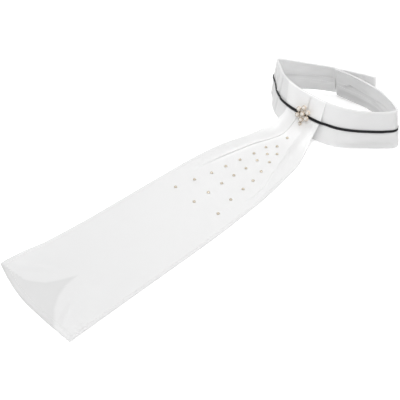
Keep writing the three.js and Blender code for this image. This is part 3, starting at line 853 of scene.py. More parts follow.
def axes_along(normal, hint):
    """Columns x, y and z of a frame whose z is the normal and whose x is near the hint."""
    z = unit(np.asarray(normal, float))
    x = unit(np.asarray(hint, float) - z * np.dot(hint, z))
    return np.stack([x, np.cross(z, x), z], axis=-1)


def stitch_parts(path, normals, pitch, length, thread):
    """Short raised stitches along a path that lies on a cloth, each a slim grain that dips in at its ends."""
    run = np.concatenate([[0], np.cumsum(np.linalg.norm(np.diff(path, axis=0), axis=-1))])
    half = thread / 2
    parts = []
    for start in np.arange(pitch / 2, run[-1], pitch):
        middle = np.array([np.interp(start, run, path[:, axis]) for axis in range(3)])
        ahead = np.array([np.interp(start + length / 2, run, path[:, axis]) for axis in range(3)])
        normal = unit(np.array([np.interp(start, run, normals[:, axis]) for axis in range(3)]))
        frame_axes = axes_along(normal, ahead - middle + 1e-6)
        angle = 2 * math.pi * np.arange(STITCH_SIDES) / STITCH_SIDES
        points = np.concatenate([
            np.stack([
                np.full(STITCH_SIDES, place * length),
                half * size * np.cos(angle),
                half * (size * np.sin(angle) + rise),
            ], axis=-1)
            for place, size, rise in STITCH_PROFILE
        ])
        faces = tube_faces(len(STITCH_PROFILE), STITCH_SIDES)
        parts.append(placed((points, faces), frame_axes, middle))
    return parts


class Value:
    """A node's output that Python arithmetic adds Math nodes to."""

    def __init__(self, paint, output):
        self.paint = paint
        self.output = output

    def math(self, operation, *values):
        return self.paint.node("ShaderNodeMath", {"operation": operation}, dict(enumerate(values)))

    def __add__(self, other):
        return self.math("ADD", self, other)

    def __sub__(self, other):
        return self.math("SUBTRACT", self, other)

    def __rsub__(self, other):
        return self.math("SUBTRACT", other, self)

    def __mul__(self, other):
        return self.math("MULTIPLY", self, other)

    def __pow__(self, other):
        return self.math("POWER", self, other)

    __radd__ = __add__
    __rmul__ = __mul__

    def sine(self):
        return self.math("SINE", self)


class Paint:
    """A material being mixed; one method adds any node to it."""

    def __init__(self, name):
        self.material = bpy.data.materials.new(name)
        self.material.use_nodes = True
        self.tree = self.material.node_tree
        self.tree.nodes.clear()

    def node(self, kind, settings=None, inputs=None, output=0):
        made = self.tree.nodes.new(kind)
        for setting, value in (settings or {}).items():
            setattr(made, setting, value)
        for socket, value in (inputs or {}).items():
            if isinstance(value, Value):
                self.tree.links.new(value.output, made.inputs[socket])
            else:
                made.inputs[socket].default_value = value
        return None if output is None else Value(self, made.outputs[output])

    def parts(self, vector):
        split = vector.paint.node("ShaderNodeSeparateXYZ", inputs={0: vector})
        return [Value(self, output) for output in split.output.node.outputs]

    def noise(self, vector, scale, detail=2.0, roughness=0.5):
        settings = {"Vector": vector, "Scale": scale, "Detail": detail, "Roughness": roughness}
        return self.node("ShaderNodeTexNoise", inputs=settings)

    def mix(self, factor, low, high):
        sockets = {0: factor, 6: low, 7: high}
        return self.node("ShaderNodeMix", {"data_type": "RGBA"}, sockets, output=2)

    def between(self, factor, low, high):
        return factor * (high - low) + low

    def bump(self, height, distance, strength):
        settings = {"Height": height, "Distance": distance, "Strength": strength}
        return self.node("ShaderNodeBump", inputs=settings)

    def finish(self, sockets):
        shaded = self.node("ShaderNodeBsdfPrincipled", inputs=sockets)
        self.node("ShaderNodeOutputMaterial", inputs={"Surface": shaded}, output=None)
        return self.material


def shade(colour, share):
    """A colour, as four numbers, made lighter or darker by a share."""
    return (*(min(1.0, part * share) for part in colour), 1.0)


def woven_paint(name, colour, pitch, end_colour, end_start, end_run):
    """A fine plain weave: crossing threads, slubs, soft clouds of tone and faint puckers of pressed cloth.

    Along the cloth its colour passes over to the end colour, from the start given and over the run given:
    painted shade on the tail's lower end, painted light on the band's outer end. The mesh's painted shade
    greys it.
    """
    paint = Paint(name)
    flat = paint.node("ShaderNodeUVMap", {"uv_map": FLAT_MAP})
    place = paint.node("ShaderNodeTexCoord", output="Object")
    across, along, _ = paint.parts(flat)
    wobble = paint.noise(place, 420, 2) * 0.6
    turn = 2 * math.pi / (pitch * MM)
    warp = (across * turn + wobble).sine()
    weft = (along * turn + wobble).sine()
    weave = warp * weft
    slub = paint.noise(paint.node("ShaderNodeMapping", inputs={0: flat, 3: (900, 90, 1)}), 1.0, 2)
    pucker = paint.noise(place, 95, 3, 0.55)
    cloud = paint.noise(place, 22, 3)
    # Painted shade on the tail's lower end and painted light on the band's outer end: the colour passes over
    # to the end colour.
    passed = paint.node("ShaderNodeMapRange", {"interpolation_type": "SMOOTHSTEP"}, {
        "Value": along, "From Min": end_start * MM, "From Max": (end_start + end_run) * MM,
    })
    deep, low, high = (
        paint.mix(passed, shade(colour, tone), shade(end_colour, tone)) for tone in THREAD_TONES
    )
    unshaded = paint.mix(weave * 0.25 + 0.25 + slub * 0.2, deep, paint.mix(cloud, low, high))
    # The point attribute of painted shade greys the cloth towards its shaded tone.
    painted_shade = paint.node("ShaderNodeAttribute", {"attribute_name": SHADE_ATTRIBUTE}, output=2)
    base = paint.mix(painted_shade, unshaded, shade(colour, SHADED_TONE))
    height = weave * 0.35 + slub * 0.25 + pucker * 0.5
    return paint.finish({
        "Base Color": base,
        "Roughness": paint.between(slub, 0.8, 0.92),
        "Sheen Weight": 0.2,
        "Sheen Roughness": 0.45,
        "Specular IOR Level": 0.3,
        "Subsurface Weight": 0.7,
        "Subsurface Radius": (1.0, 1.0, 1.0),
        "Subsurface Scale": 2.0 * MM,
        "Normal": paint.bump(height, 0.08 * MM, 0.6),
    })


def satin_paint(colour):
    """Black satin: fine slanting floats of thread, a soft sheen and a little lint."""
    paint = Paint("black_satin")
    flat = paint.node("ShaderNodeUVMap", {"uv_map": FLAT_MAP})
    place = paint.node("ShaderNodeTexCoord", output="Object")
    across, along, _ = paint.parts(flat)
    floats = ((across + along * 0.6) * (2 * math.pi / (0.28 * MM))).sine()
    lint = paint.noise(place, 1400, 2) ** 6
    fibre = paint.noise(place, 700, 3)
    base = paint.mix(lint * 2.0 + floats * 0.08, shade(colour, 1), shade(colour, 3.2))
    return paint.finish({
        "Base Color": base,
        "Roughness": paint.between(fibre, 0.34, 0.5),
        "Sheen Weight": 0.02,
        "Specular IOR Level": 0.16,
        "Normal": paint.bump(floats * 0.5 + fibre * 0.5, 0.03 * MM, 0.6),
    })


def gold_paint(colour):
    """Polished rose gold with fine scratches, handling marks and tarnish, and painted shade that is dark in
    the recesses.
    """
    paint = Paint("polished_rose_gold")
    place = paint.node("ShaderNodeTexCoord", output="Object")
    tarnish = paint.noise(place, 340, 3, 0.6)
    stretched = paint.node("ShaderNodeMapping", inputs={0: place, 2: (0.3, 0.5, 0.2), 3: (3000, 260, 900)})
    scratch = paint.noise(stretched, 1.0, 2)
    # Painted shade: the metal turns nearly black where other metal closes it in.
    open_share = paint.node("ShaderNodeAmbientOcclusion", {"samples": 8}, {"Distance": 1.4 * MM}, output=1)
    polished = paint.mix(tarnish, shade(colour, 0.86), shade(colour, 1.04))
    return paint.finish({
        "Base Color": paint.mix(open_share ** 2.3, shade(colour, 0.04), polished),
        "Metallic": 0.25,
        "Roughness": paint.between(tarnish * 0.6 + scratch * 0.4, 0.12, 0.32),
        "Normal": paint.bump(scratch, 0.02 * MM, 0.35),
    })


def stone_paint(name, colour, see_through, metallic):
    """A cut stone: clear to the foil behind it, with slight veils and a dusting of fine marks."""
    paint = Paint(name)
    place = paint.node("ShaderNodeTexCoord", output="Object")
    veil = paint.noise(place, 900, 2)
    return paint.finish({
        "Base Color": paint.mix(veil, shade(colour, 0.8), shade(colour, 1.1)),
        "Metallic": metallic,
        "Roughness": paint.between(veil, 0.02, 0.09),
        "IOR": 1.62,
        "Transmission Weight": see_through,
    })


def pile_paint(name, colour, scale):
    """Hook-and-loop tape: a knitted ground under matted filaments."""
    paint = Paint(name)
    place = paint.node("ShaderNodeTexCoord", output="Object")
    mat = paint.noise(place, scale, 4, 0.7)
    ground = paint.noise(place, scale / 4, 2)
    return paint.finish({
        "Base Color": paint.mix(mat, shade(colour, 0.82), shade(colour, 1.03)),
        "Roughness": paint.between(ground, 0.8, 0.98),
        "Sheen Weight": 0.3,
        "Normal": paint.bump(mat + ground * 0.5, 0.3 * MM, 0.8),
    })


# The facing's and the tail's cloth, with painted shade on the tail's lower end.
def cloth_of(settings):
    return woven_paint(
        "white_cloth", settings.cloth_colour, settings.thread_pitch / MM,
        settings.shaded_end_colour, TAIL_SHADE_START, TAIL_SHADE_RUN,
    )


# The band's cloth, with painted light on its outer end.
def band_cloth_of(settings):
    return woven_paint(
        "band_cloth", settings.band_colour, settings.thread_pitch / MM,
        settings.end_colour, BAND_LIT_START, BAND_LIT_RUN,
    )


def thread_of(settings):
    made = bpy.data.materials.get("white_thread")
    return made or pile_paint("white_thread", settings.thread_colour, 2600)


def band_grid():
    """The neck band's mid-surface: a row for each place round it, columns from its foot to its top."""
    around = edged(BAND_LENGTH, BAND_STEP, BAND_WALL / 2)[:, None]
    up = edged(BAND_HEIGHT, BAND_STEP, BAND_WALL / 2)[None, :]
    return band_point(around, up, 0.0)


def make_neck_band(settings):
    middle = band_grid()
    flat, _, _, half, inside = rolled_wall(middle, BAND_WALL, BAND_MARGIN)
    height, run = flat[..., 0], flat[..., 1]
    share = height / height[:, -1:]
    seam = np.exp(-(((share - PIPING_HEIGHT_SHARE) * BAND_HEIGHT / PIPING_SEAM_WIDTH) ** 2))
    crease = settings.crease_depth / MM
    swells = swell(run, height, BAND_SWELLS)
    outer = half + inside * (crease * crease_relief(BAND_OUTER_CREASES, run, height) + swells - RELIEF_DROP)
    inner = half + inside * (
        crease * crease_relief(BAND_INNER_CREASES, run, height) + swells * INNER_SWELL_SHARE - RELIEF_DROP
        - PIPING_SEAM_DEPTH * seam
    )
    # Painted shade of the band: from its table, in its creases' valleys, and a mottle of tone.
    darkened = {name: table_column(BAND_SHADE_TABLE, BAND_SHADE_COLUMNS, name, run) for name in BAND_SHADE_COLUMNS}
    mottle = swell(run, height, BAND_MOTTLE)
    outer_shade = (
        darkened["outer"] + OUTER_SHADE_SHARES[0] * crease_shade(BAND_OUTER_CREASES, run, height)
        + OUTER_SHADE_SHARES[1] * mottle
    )
    inner_shade = (
        darkened["foot"] + (darkened["top"] - darkened["foot"]) * share + INNER_SHADE_SHARES[1] * mottle
        + INNER_SHADE_SHARES[0] * crease_shade(BAND_INNER_CREASES, run, height)
    )
    piece = cloth_piece("neck_band_cloth", middle, outer, inner, band_cloth_of(settings), "cloth",
                        ("collar_band",), painted_shade=np.clip((outer_shade, inner_shade), 0, 1))
    normals = grid_normals(middle)
    parts = []
    stitch = settings.stitch_length / MM
    ends = slice(STITCH_END_ROWS, -STITCH_END_ROWS)
    for line in BAND_STITCH_SHARES:
        column = int(np.argmin(np.abs(share[0] - line)))
        path = (middle - normals * (inner[..., None] + STITCH_LIFT))[ends, column]
        parts += stitch_parts(path, -normals[ends, column], stitch * BAND_STITCH_PITCH, stitch, THREAD_WIDTH)
    make_piece("neck_band_stitches", *join_parts(parts), thread_of(settings), "cloth")


def make_front_panel(settings):
    up = PANEL_LOW_SHARE + (1 - PANEL_LOW_SHARE) * edged(PANEL_HEIGHT, PANEL_STEP, PANEL_WALL / 2)[:, None]
    across = edged(PANEL_TOP[0] - PANEL_TOP[1], PANEL_STEP, PANEL_WALL / 2)[None, :]
    share = (up - PANEL_LOW_SHARE) / (1 - PANEL_LOW_SHARE)
    right = PANEL_LOW[0] + (PANEL_TOP[0] - PANEL_LOW[0]) * share
    left = PANEL_LOW[1] + (PANEL_TOP[1] - PANEL_LOW[1]) * share
    x = left + (right - left) * across
    seat = BAND_WALL / 2 + TOUCH_GAP + PANEL_WALL / 2
    middle = band_point(around_at_x(x, up), up, seat)
    _, _, _, half, inside = rolled_wall(middle, PANEL_WALL, PANEL_MARGIN)
    height = share * PANEL_HEIGHT
    relief = inside * (
        settings.crease_depth / MM * crease_relief(PANEL_CREASES, x, height)
        + swell(x, height, PANEL_SWELLS) + PANEL_RISE
    )
    # Painted shade, even over the panel and deeper at its left edge.
    darkened = PANEL_SHADE + PANEL_EDGE_SHADE * np.exp(-(x - left) / PANEL_EDGE_RUN)
    facing = cloth_piece(
        "front_panel_cloth", middle, half + relief, half, cloth_of(settings), "cloth", ("front_panel",),
        painted_shade=np.broadcast_to(darkened, (2, *middle.shape[:2])),
    )


def make_piping(settings):
    """A satin-covered cord sewn into the band's seam, made of rings that shrink to a rounded end each way."""
    around = np.linspace(*PIPING_ENDS, PIPING_ROWS)
    angle = np.linspace(0, math.pi, PIPING_SIDES)
    place = np.concatenate([-np.cos(angle), PIPING_UNDERSIDE])
    crown = PIPING_FOOT_SHARE + (1 - PIPING_FOOT_SHARE) * np.sin(angle) ** PIPING_FULLNESS
    rise = np.concatenate([crown, np.zeros(len(PIPING_UNDERSIDE))])
    upward = band_middle(around, np.ones_like(around)) - band_middle(around, 0 * around)
    width = np.linalg.norm(upward, axis=-1)
    run = (around - around[0]) * BAND_LENGTH
    ends = roll(np.minimum(run, run[-1] - run), PIPING_WIDTH / 2)[:, None]
    uneven = 1 + swell(run, 0 * run, PIPING_SWELLS)[:, None]
    up = PIPING_HEIGHT_SHARE + place * PIPING_WIDTH / 2 * ends / width[:, None]
    from_turn = (around - PIPING_TURN["around"]) * BAND_LENGTH / PIPING_TURN["run"]
    pressed = 1 - PIPING_TURN["share"] * np.exp(-(from_turn**2))[:, None]
    thick = rise * PIPING_RISE * pressed * np.maximum(ends, PIPING_END) * uneven
    height = piping_seat(around)[:, None] + thick
    rings = band_point(around[:, None], up, height)
    flat = np.stack(np.broadcast_arrays(place * PIPING_WIDTH / 2, run[:, None]), axis=-1).reshape(-1, 2)
    points, faces = facing_out(rings.reshape(-1, 3), tube_faces(*rings.shape[:2]))
    satin = satin_paint(settings.satin_colour)
    make_piece("piping_satin", points, faces, satin, "satin", ("piping",), flat)


def tail_relief(x, y):
    """Soft hollows of the tail's upper face, in plan."""
    return swell(x, y, TAIL_SWELLS)


def dent_shade(x, y):
    """Painted shade in the dent's hollow, deepest along its two sides."""
    past = np.maximum(0, DENT["y"] - y)
    from_left = x - DENT["x"] + table_column(DENT_TABLE, DENT_COLUMNS, "left", past)
    from_right = DENT["x"] + table_column(DENT_TABLE, DENT_COLUMNS, "right", past) - x
    inside = smooth(from_left / DENT_EDGE) * smooth(from_right / DENT_EDGE)
    line = np.exp(-np.maximum(0, np.minimum(from_left, from_right)) / DENT_LINE)
    return DENT_SHADE * inside * (DENT_SHADE_SHARES[0] + DENT_SHADE_SHARES[1] * line)


def make_tail(settings):
    places = tail_places()
    sections = np.stack([tail_section(place) for place in places])
    x, height = sections[..., 0], sections[..., 1]
    middle = tail_point(places[:, None], x, height)
    centre = middle.shape[1] // 2
    flat, sides, _, half, inside = rolled_wall(middle, TAIL_WALL, TAIL_MARGIN, centre)
    to_end = flat[..., 1].max() - flat[..., 1]
    hem = smooth((TAIL_HEM + HEM_STEP / 2 - to_end) / HEM_STEP)
    side_hem = smooth((TAIL_SIDE_HEM + SIDE_HEM_STEP / 2 - sides) / SIDE_HEM_STEP)
    seam = (
        np.exp(-(((to_end - TAIL_HEM) / SEAM_WIDTH) ** 2))
        + SIDE_SEAM_SHARE * np.exp(-(((sides - TAIL_SIDE_HEM) / SIDE_SEAM_WIDTH) ** 2))
    )
    free = smooth((flat[..., 1] - TAIL_RELIEF_START) / TAIL_RELIEF_RUN)
    relief = settings.crease_depth / MM * tail_relief(x, middle[..., 1]) * free
    puckers = np.exp(-((to_end - TAIL_HEM) / PUCKER_RUN) ** 2) * swell(x, to_end, HEM_PUCKERS)
    hems = HEM_RISE * np.maximum(hem, SIDE_HEM_SHARE * side_hem) - SEAM_DEPTH * seam + puckers
    outer = half + inside * (relief + hems)
    inner = half - inside * np.minimum(relief, INNER_RELIEF_MOST)
    # Painted shade of the tail: in the dent, past the knot but for the painted light of the left fold's edge,
    # at the left corner and round the hems.
    corner = np.hypot(x - TAIL_TABLE[-1][TAIL_COLUMNS.index("left")], to_end)
    from_fold = (x - tail_value(places, "left_fold")[:, None]) / FOLD_LIGHT_REACH
    hidden = tail_value(places, "left_hidden")[:, None]
    lit_fold = np.exp(-(from_fold**2)) * smooth(hidden / FOLD_LIGHT_DEPTH)
    greyed = (
        dent_shade(x, middle[..., 1])
        + PAST_KNOT_SHADE * smooth((flat[..., 1] - KNOT_LENGTH) / KNOT_RUN) * (1 - lit_fold)
        + CORNER_SHADE * np.exp(-corner / CORNER_RUN)
        + HEM_SHADE * np.exp(-((np.minimum(sides, to_end) / HEM_RUN) ** 2))
    )
    piece = cloth_piece("tail_cloth", middle, outer, inner, cloth_of(settings), "cloth", ("tail",), centre,
                        (greyed, greyed))
    normals = grid_normals(middle)
    top = middle + normals * outer[..., None]
    parts = []
    stitch = settings.stitch_length / MM
    row = int(np.argmin(np.abs(to_end[:, 0] - TAIL_HEM)))
    column = int(np.argmin(np.abs(sides[-HEM_COLUMNS, :HEM_COLUMNS] - TAIL_SIDE_HEM)))
    lines = [(top[row, column:-column], normals[row, column:-column])]
    for side in (column, top.shape[1] - 1 - column):
        lines.append((top[SIDE_STITCH_START:row, side], normals[SIDE_STITCH_START:row, side]))
    for path, up in lines:
        parts += stitch_parts(path, up, stitch * TAIL_STITCH_PITCH, stitch, THREAD_WIDTH)
    stitches = make_piece("tail_hem_stitches", *join_parts(parts), thread_of(settings), "cloth")


def brooch_axes():
    turn = math.pi / 2 - BROOCH_LEAN
    return np.array([(1, 0, 0), (0, math.cos(turn), -math.sin(turn)), (0, math.sin(turn), math.cos(turn))])


def bead(radius, sides=8):
    angle = np.linspace(BEAD_END, math.pi - BEAD_END, BEAD_RINGS)
    return lathe([(radius * math.sin(turn), -radius * math.cos(turn)) for turn in angle], sides)


def claw(stone_radius, top):
    """A tapered claw that rises outside a stone and folds over its crown."""
    points, faces = lathe(CLAW_PROFILE, CLAW_SIDES)
    share = points[:, 2] / CLAW_LENGTH
    bent = points * (1, 1, (top - BEZEL_FOOT) / CLAW_LENGTH)
    bent[:, 1] += stone_radius + LIP - CLAW_BEND * share**CLAW_TAPER
    return bent + (0, 0, BEZEL_FOOT), faces


def cup(radius, stone_radius, height):
    """A stone's cup: a turned wall with a rolled foot and a lip that closes on the stone's girdle."""
    return lathe([
        (radius - 0.35, 0), (radius - 0.05, 0.12), (radius, 0.4), (radius - 0.1, 0.7), (radius, 1.0),
        (radius - 0.08, height - 0.25), (stone_radius + LIP, height), (stone_radius + 0.05, height - 0.02),
        (stone_radius, height - 0.3), (stone_radius - 0.15, 0.75), (0.2, 0.6),
    ], CUP_SIDES)


def wire(start, end):
    """A straight round wire between two places in the brooch's flat frame."""
    run = np.array((end[0] - start[0], end[1] - start[1], 0.0))
    length = float(np.linalg.norm(run))
    profile = [(WIRE_RADIUS, 0), (WIRE_RADIUS * WIRE_WAIST, length / 2), (WIRE_RADIUS, length)]
    rod = lathe(profile, WIRE_SIDES)
    return placed(rod, axes_along(run, (0, 0, 1)), np.array((*start, WIRE_HEIGHT)))


def wire_ring(radius):
    """A round wire bent to a ring, which ties the petals together."""
    steps, sides = WIRE_RING_STEPS
    around = np.linspace(0, 2 * math.pi, steps + 1)[:-1, None]
    across = np.linspace(0, 2 * math.pi, sides + 1)[None, :-1]
    reach = radius + WIRE_RADIUS * np.cos(across)
    height = np.broadcast_to(WIRE_HEIGHT + WIRE_RADIUS * np.sin(across), WIRE_RING_STEPS)
    points = np.stack([reach * np.sin(around), reach * np.cos(around), height], axis=-1).reshape(-1, 3)
    index = np.arange(steps * sides).reshape(WIRE_RING_STEPS)
    ahead, beside = np.roll(index, -1, axis=0), np.roll(index, -1, axis=1)
    corners = np.stack([index, ahead, np.roll(ahead, -1, axis=1), beside], axis=-1)
    return points, corners.reshape(-1, 4).tolist()


def setting_parts():
    """The brooch's metal, in its own flat frame: cups, milgrain beads, claws, and what joins them."""
    parts = []

    def add(part, x=0.0, y=0.0, z=0.0, turn=0.0):
        spin = np.array([
            (math.cos(turn), math.sin(turn), 0), (-math.sin(turn), math.cos(turn), 0), (0, 0, 1),
        ])
        parts.append(placed(part, spin, np.array((x, y, z))))

    def collet(x, y, radius, stone_radius, height, beads, claws, claw_turn):
        add(cup(radius, stone_radius, height), x, y)
        reach = radius - MILGRAIN_INSET
        for step in range(beads):
            turn = 2 * math.pi * step / beads
            place = (x + reach * math.sin(turn), y + reach * math.cos(turn), height - MILGRAIN_INSET)
            add(bead(MILGRAIN), *place)
        for step in range(claws):
            add(claw(stone_radius, height + CLAW_RISE), x, y, 0, claw_turn + 2 * math.pi * step / claws)

    for petal in range(PETALS):
        turn = 2 * math.pi * petal / PETALS
        place = (PETAL_RING * math.sin(turn), PETAL_RING * math.cos(turn))
        collet(*place, PETAL_CUP, STONE_RADIUS, CUP_HEIGHT, beads=18, claws=4, claw_turn=turn + math.pi / 4)
        between = turn + math.pi / PETALS
        reach = (OPENING_RING * math.sin(between), OPENING_RING * math.cos(between))
        add(bead(JOIN_BEAD, JOIN_BEAD_SIDES), *reach, WIRE_HEIGHT)
        add(wire((0, HUB_CUP - WIRE_INSET), (0, PETAL_RING - PETAL_CUP + WIRE_INSET)), turn=turn)
    parts.append(wire_ring(OPENING_RING))
    collet(0, 0, HUB_CUP, STONE_RADIUS, CUP_HEIGHT + HUB_RISE, beads=18, claws=6, claw_turn=math.pi / 6)
    drop_reach = -DROP_PLACE - PETAL_RING - PETAL_CUP + WIRE_INSET
    add(wire((0, DROP_RADIUS - WIRE_INSET), (0, drop_reach)), 0, DROP_PLACE)
    drop = (0, DROP_PLACE, DROP_RADIUS, DROP_STONE_RADIUS, CUP_HEIGHT - DROP_FALL)
    collet(*drop, beads=12, claws=3, claw_turn=0)
    return parts


def make_brooch(settings):
    axes = brooch_axes()
    points, faces = placed(join_parts(setting_parts()), axes, BROOCH_CENTRE)
    gold = gold_paint(settings.gold_colour)
    make_piece("brooch_metal", points, faces, gold, "rose_gold", ("brooch_setting",))
    stone = stone_paint("pale_pink_stone", settings.stone_colour, 0.35, 0.0)
    spots = [("brooch_centre_stone", "centre_stone_cut", STONE_RADIUS, 0, 0, HUB_RISE)]
    for petal in range(PETALS):
        turn = 2 * math.pi * petal / PETALS
        spots.append((
            f"brooch_petal_stone_{petal + 1}", f"petal_stone_cut_{petal + 1}", STONE_RADIUS,
            PETAL_RING * math.sin(turn), PETAL_RING * math.cos(turn), 0,
        ))
    spots.append(("brooch_drop_stone", "drop_stone_cut", DROP_STONE_RADIUS, 0, DROP_PLACE, 0))
    for node, name, radius, x, y, lift in spots:
        part = cut_stone(radius, STONE_GIRDLE + STONE_CROWN, STONE_GIRDLE, STONE_TABLE)
        place = BROOCH_CENTRE + axes @ np.array((x, y, CUP_HEIGHT - STONE_GIRDLE + lift))
        part_points, part_faces = placed(join_parts([part]), axes, place)
        make_piece(name, part_points, part_faces, stone, "pale_stone", (node,), sharp=True)


def make_crystals(settings):
    foil = stone_paint("champagne_crystal", settings.crystal_colour, 0.0, 0.35)
    fine = np.linspace(0, len(TAIL_TABLE) - 1, CRYSTAL_PLACES)
    depth = -tail_value(fine, "y")
    for number in range(1, CRYSTALS + 1):
        node = f"crystal_{number:02d}"
        low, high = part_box(node)
        x, y, _ = (np.array((low + high) / 2) - SHIFT) / MM
        place = np.array([np.interp(-y, depth, fine)])
        base = tail_point(place, np.array([x]), np.array([0.0]))[0]
        normal = unit(tail_point(place, np.array([x]), np.array([10.0]))[0] - base)
        seat = base + normal * (TAIL_WALL / 2 + CRYSTAL_SINK)
        girdle = CRYSTAL_RADIUS * CRYSTAL_GIRDLE_SHARE
        part = join_parts([cut_stone(CRYSTAL_RADIUS, CRYSTAL_RADIUS, girdle, CRYSTAL_TABLE)])
        turned = placed(part, axes_along(normal, (math.cos(number), math.sin(number), 0)), seat)
        make_piece(f"crystal_cut_{number:02d}", *turned, foil, "champagne_stone", (node,), sharp=True)


def tape_grid(ends, offset):
    def between(edges, size):
        return edges[0] + (edges[1] - edges[0]) * edged(size, TAPE_STEP, TAPE_WALL / 2)

    around = between(ends, (ends[1] - ends[0]) * BAND_LENGTH)[:, None]
    return band_point(around, between(TAPE_EDGES, TAPE_HEIGHT)[None, :], offset)


def filament(points, width):
    """A three-sided thread through a few points, tapering to its tip."""
    ahead = unit(np.gradient(points, axis=0))
    side = unit(np.cross(ahead, STRAND_HINT))
    above = np.cross(ahead, side)
    size = width / 2 * np.linspace(1, 0.5, len(points))[:, None]
    rings = [
        points + size * (side * math.cos(turn) + above * math.sin(turn))
        for turn in (0, 2 * math.pi / 3, 4 * math.pi / 3)
    ]
    return np.stack(rings, axis=1).reshape(-1, 3), tube_faces(len(points), len(rings))


def make_closure(settings):
    """The two tapes between the overlapping ends: matted loops on one, rows of small hooks on the other."""
    chooser = random.Random(STRAND_SEED)
    seat = BAND_WALL / 2 + TOUCH_GAP + TAPE_WALL / 2
    loops = pile_paint("loop_tape_pile", settings.tape_colour, 1500)
    hooks = pile_paint("hook_tape_weave", settings.tape_colour, 900)
    for name, node, ends, side, paint in (
        ("loop_tape_cloth", "loop_tape", LOOP_TAPE_ENDS, 1, loops),
        ("hook_tape_cloth", "hook_tape", HOOK_TAPE_ENDS, -1, hooks),
    ):
        middle = tape_grid(ends, side * seat)
        flat, _, _, half, inside = rolled_wall(middle, TAPE_WALL, TAPE_MARGIN)
        pile = swell(flat[..., 0], flat[..., 1], TAPE_SWELLS) * inside
        tape = cloth_piece(name, middle, half + pile, half, paint, "tape", (node,))
        size = (flat[..., 0].max() * MM, flat[..., 1].max() * MM)
        normals = grid_normals(middle)
        strands = []
        for _ in range(TAPE_STRANDS):
            row, column = (chooser.randrange(STRAND_EDGE, count - STRAND_EDGE) for count in middle.shape[:2])
            out = normals[row, column] * side
            start = middle[row, column] + out * (TAPE_WALL / 2 - STRAND_SINK)
            lean = unit(np.array([chooser.uniform(-1, 1) for _ in range(3)]))
            bend = np.linspace(0, 1, STRAND_STEPS)[:, None]
            reach = LOOP_REACH if side > 0 else HOOK_REACH
            curve = start + out * reach * np.sin(bend * STRAND_CURL) + lean * bend * STRAND_LEAN
            strands.append(filament(curve, STRAND_WIDTH))
        pile_piece = make_piece(f"{node}_strands", *join_parts(strands), paint, "tape")
    tuft = []
    middle = tape_grid(LOOP_TAPE_ENDS, seat)
    for _ in range(TUFT_STRANDS):
        start = middle[0, chooser.randrange(0, middle.shape[1] // 2)] + (chooser.uniform(-0.3, 0.6), 0, 0)
        out = np.array((-chooser.uniform(0.6, 2.2), chooser.uniform(-1.1, 0.7), chooser.uniform(-0.9, 0.9)))
        bend = np.linspace(0, 1, TUFT_STEPS)[:, None]
        curl = np.array((0, chooser.uniform(-0.8, 0.8), chooser.uniform(-0.8, 0.8)))
        tuft.append(filament(start + out * bend + curl * np.sin(bend * math.pi), TUFT_WIDTH))
    make_piece("loop_tape_tuft", *join_parts(tuft), loops, "tape")


def make_stage(settings):
    """A pale floor, soft lights from the front, the top and the side, a pale surround and the camera."""
    scene = bpy.context.scene
    low, high = FRAME_BOX
    middle = (low + high) / 2
    bpy.ops.mesh.primitive_plane_add(size=settings.floor_size, location=(middle.x, middle.y, -FLOOR_DROP))
    floor = bpy.context.object
    floor.name = "pale_floor"
    paint = Paint("pale_floor")
    place = paint.node("ShaderNodeTexCoord", output="Object")
    grain = paint.noise(place, 60, 3)
    floor.data.materials.append(paint.finish({
        "Base Color": paint.mix(grain, shade(settings.floor_colour, 0.99), shade(settings.floor_colour, 1)),
        "Roughness": 0.75,
        "Specular IOR Level": 0.1,
        "Emission Color": (1, 1, 1, 1),
        "Emission Strength": settings.floor_glow,
    }))
    for name, place, size, power in (
        ("key_light", settings.key_place, settings.key_size, settings.key_power),
        ("top_light", settings.top_place, settings.top_size, settings.top_power),
        ("side_light", settings.side_place, settings.side_size, settings.side_power),
    ):
        light = bpy.data.lights.new(name, "AREA")
        light.shape = "DISK"
        light.size = size
        light.energy = power
        lamp = bpy.data.objects.new(name, light)
        lamp.location = middle + Vector(place)
        lamp.rotation_euler = (-Vector(place)).to_track_quat("-Z", "Y").to_euler()
        scene.collection.objects.link(lamp)
    world = bpy.data.worlds.new("pale_surround")
    world.use_nodes = True
    surround = world.node_tree.nodes["Background"]
    surround.inputs["Color"].default_value = (1, 1, 1, 1)
    surround.inputs["Strength"].default_value = settings.surround
    scene.world = world
    camera = bpy.data.objects.new("camera", bpy.data.cameras.new("camera"))
    camera.data.lens = settings.lens
    camera.data.clip_start = CAMERA_NEAR
    camera.location = settings.camera_place
    camera.rotation_euler = (math.pi / 2 - settings.camera_pitch, 0, settings.camera_turn)
    scene.collection.objects.link(camera)
    scene.camera = camera
    scene.view_settings.view_transform = "Standard"


def colour(name, description, default):
    return FloatVectorProperty(
        name=name, description=description, subtype="COLOR", size=3, min=0, max=1, default=default,
    )


def length(name, description, default):
    return FloatProperty(
        name=name, description=description, unit="LENGTH", min=0, precision=5, default=default,
    )


def spot(name, description, default):
    return FloatVectorProperty(
        name=name, description=description, subtype="XYZ", unit="LENGTH", default=default,
    )


def power(name, description, default):
    return FloatProperty(name=name, description=description, unit="POWER", min=0, default=default)


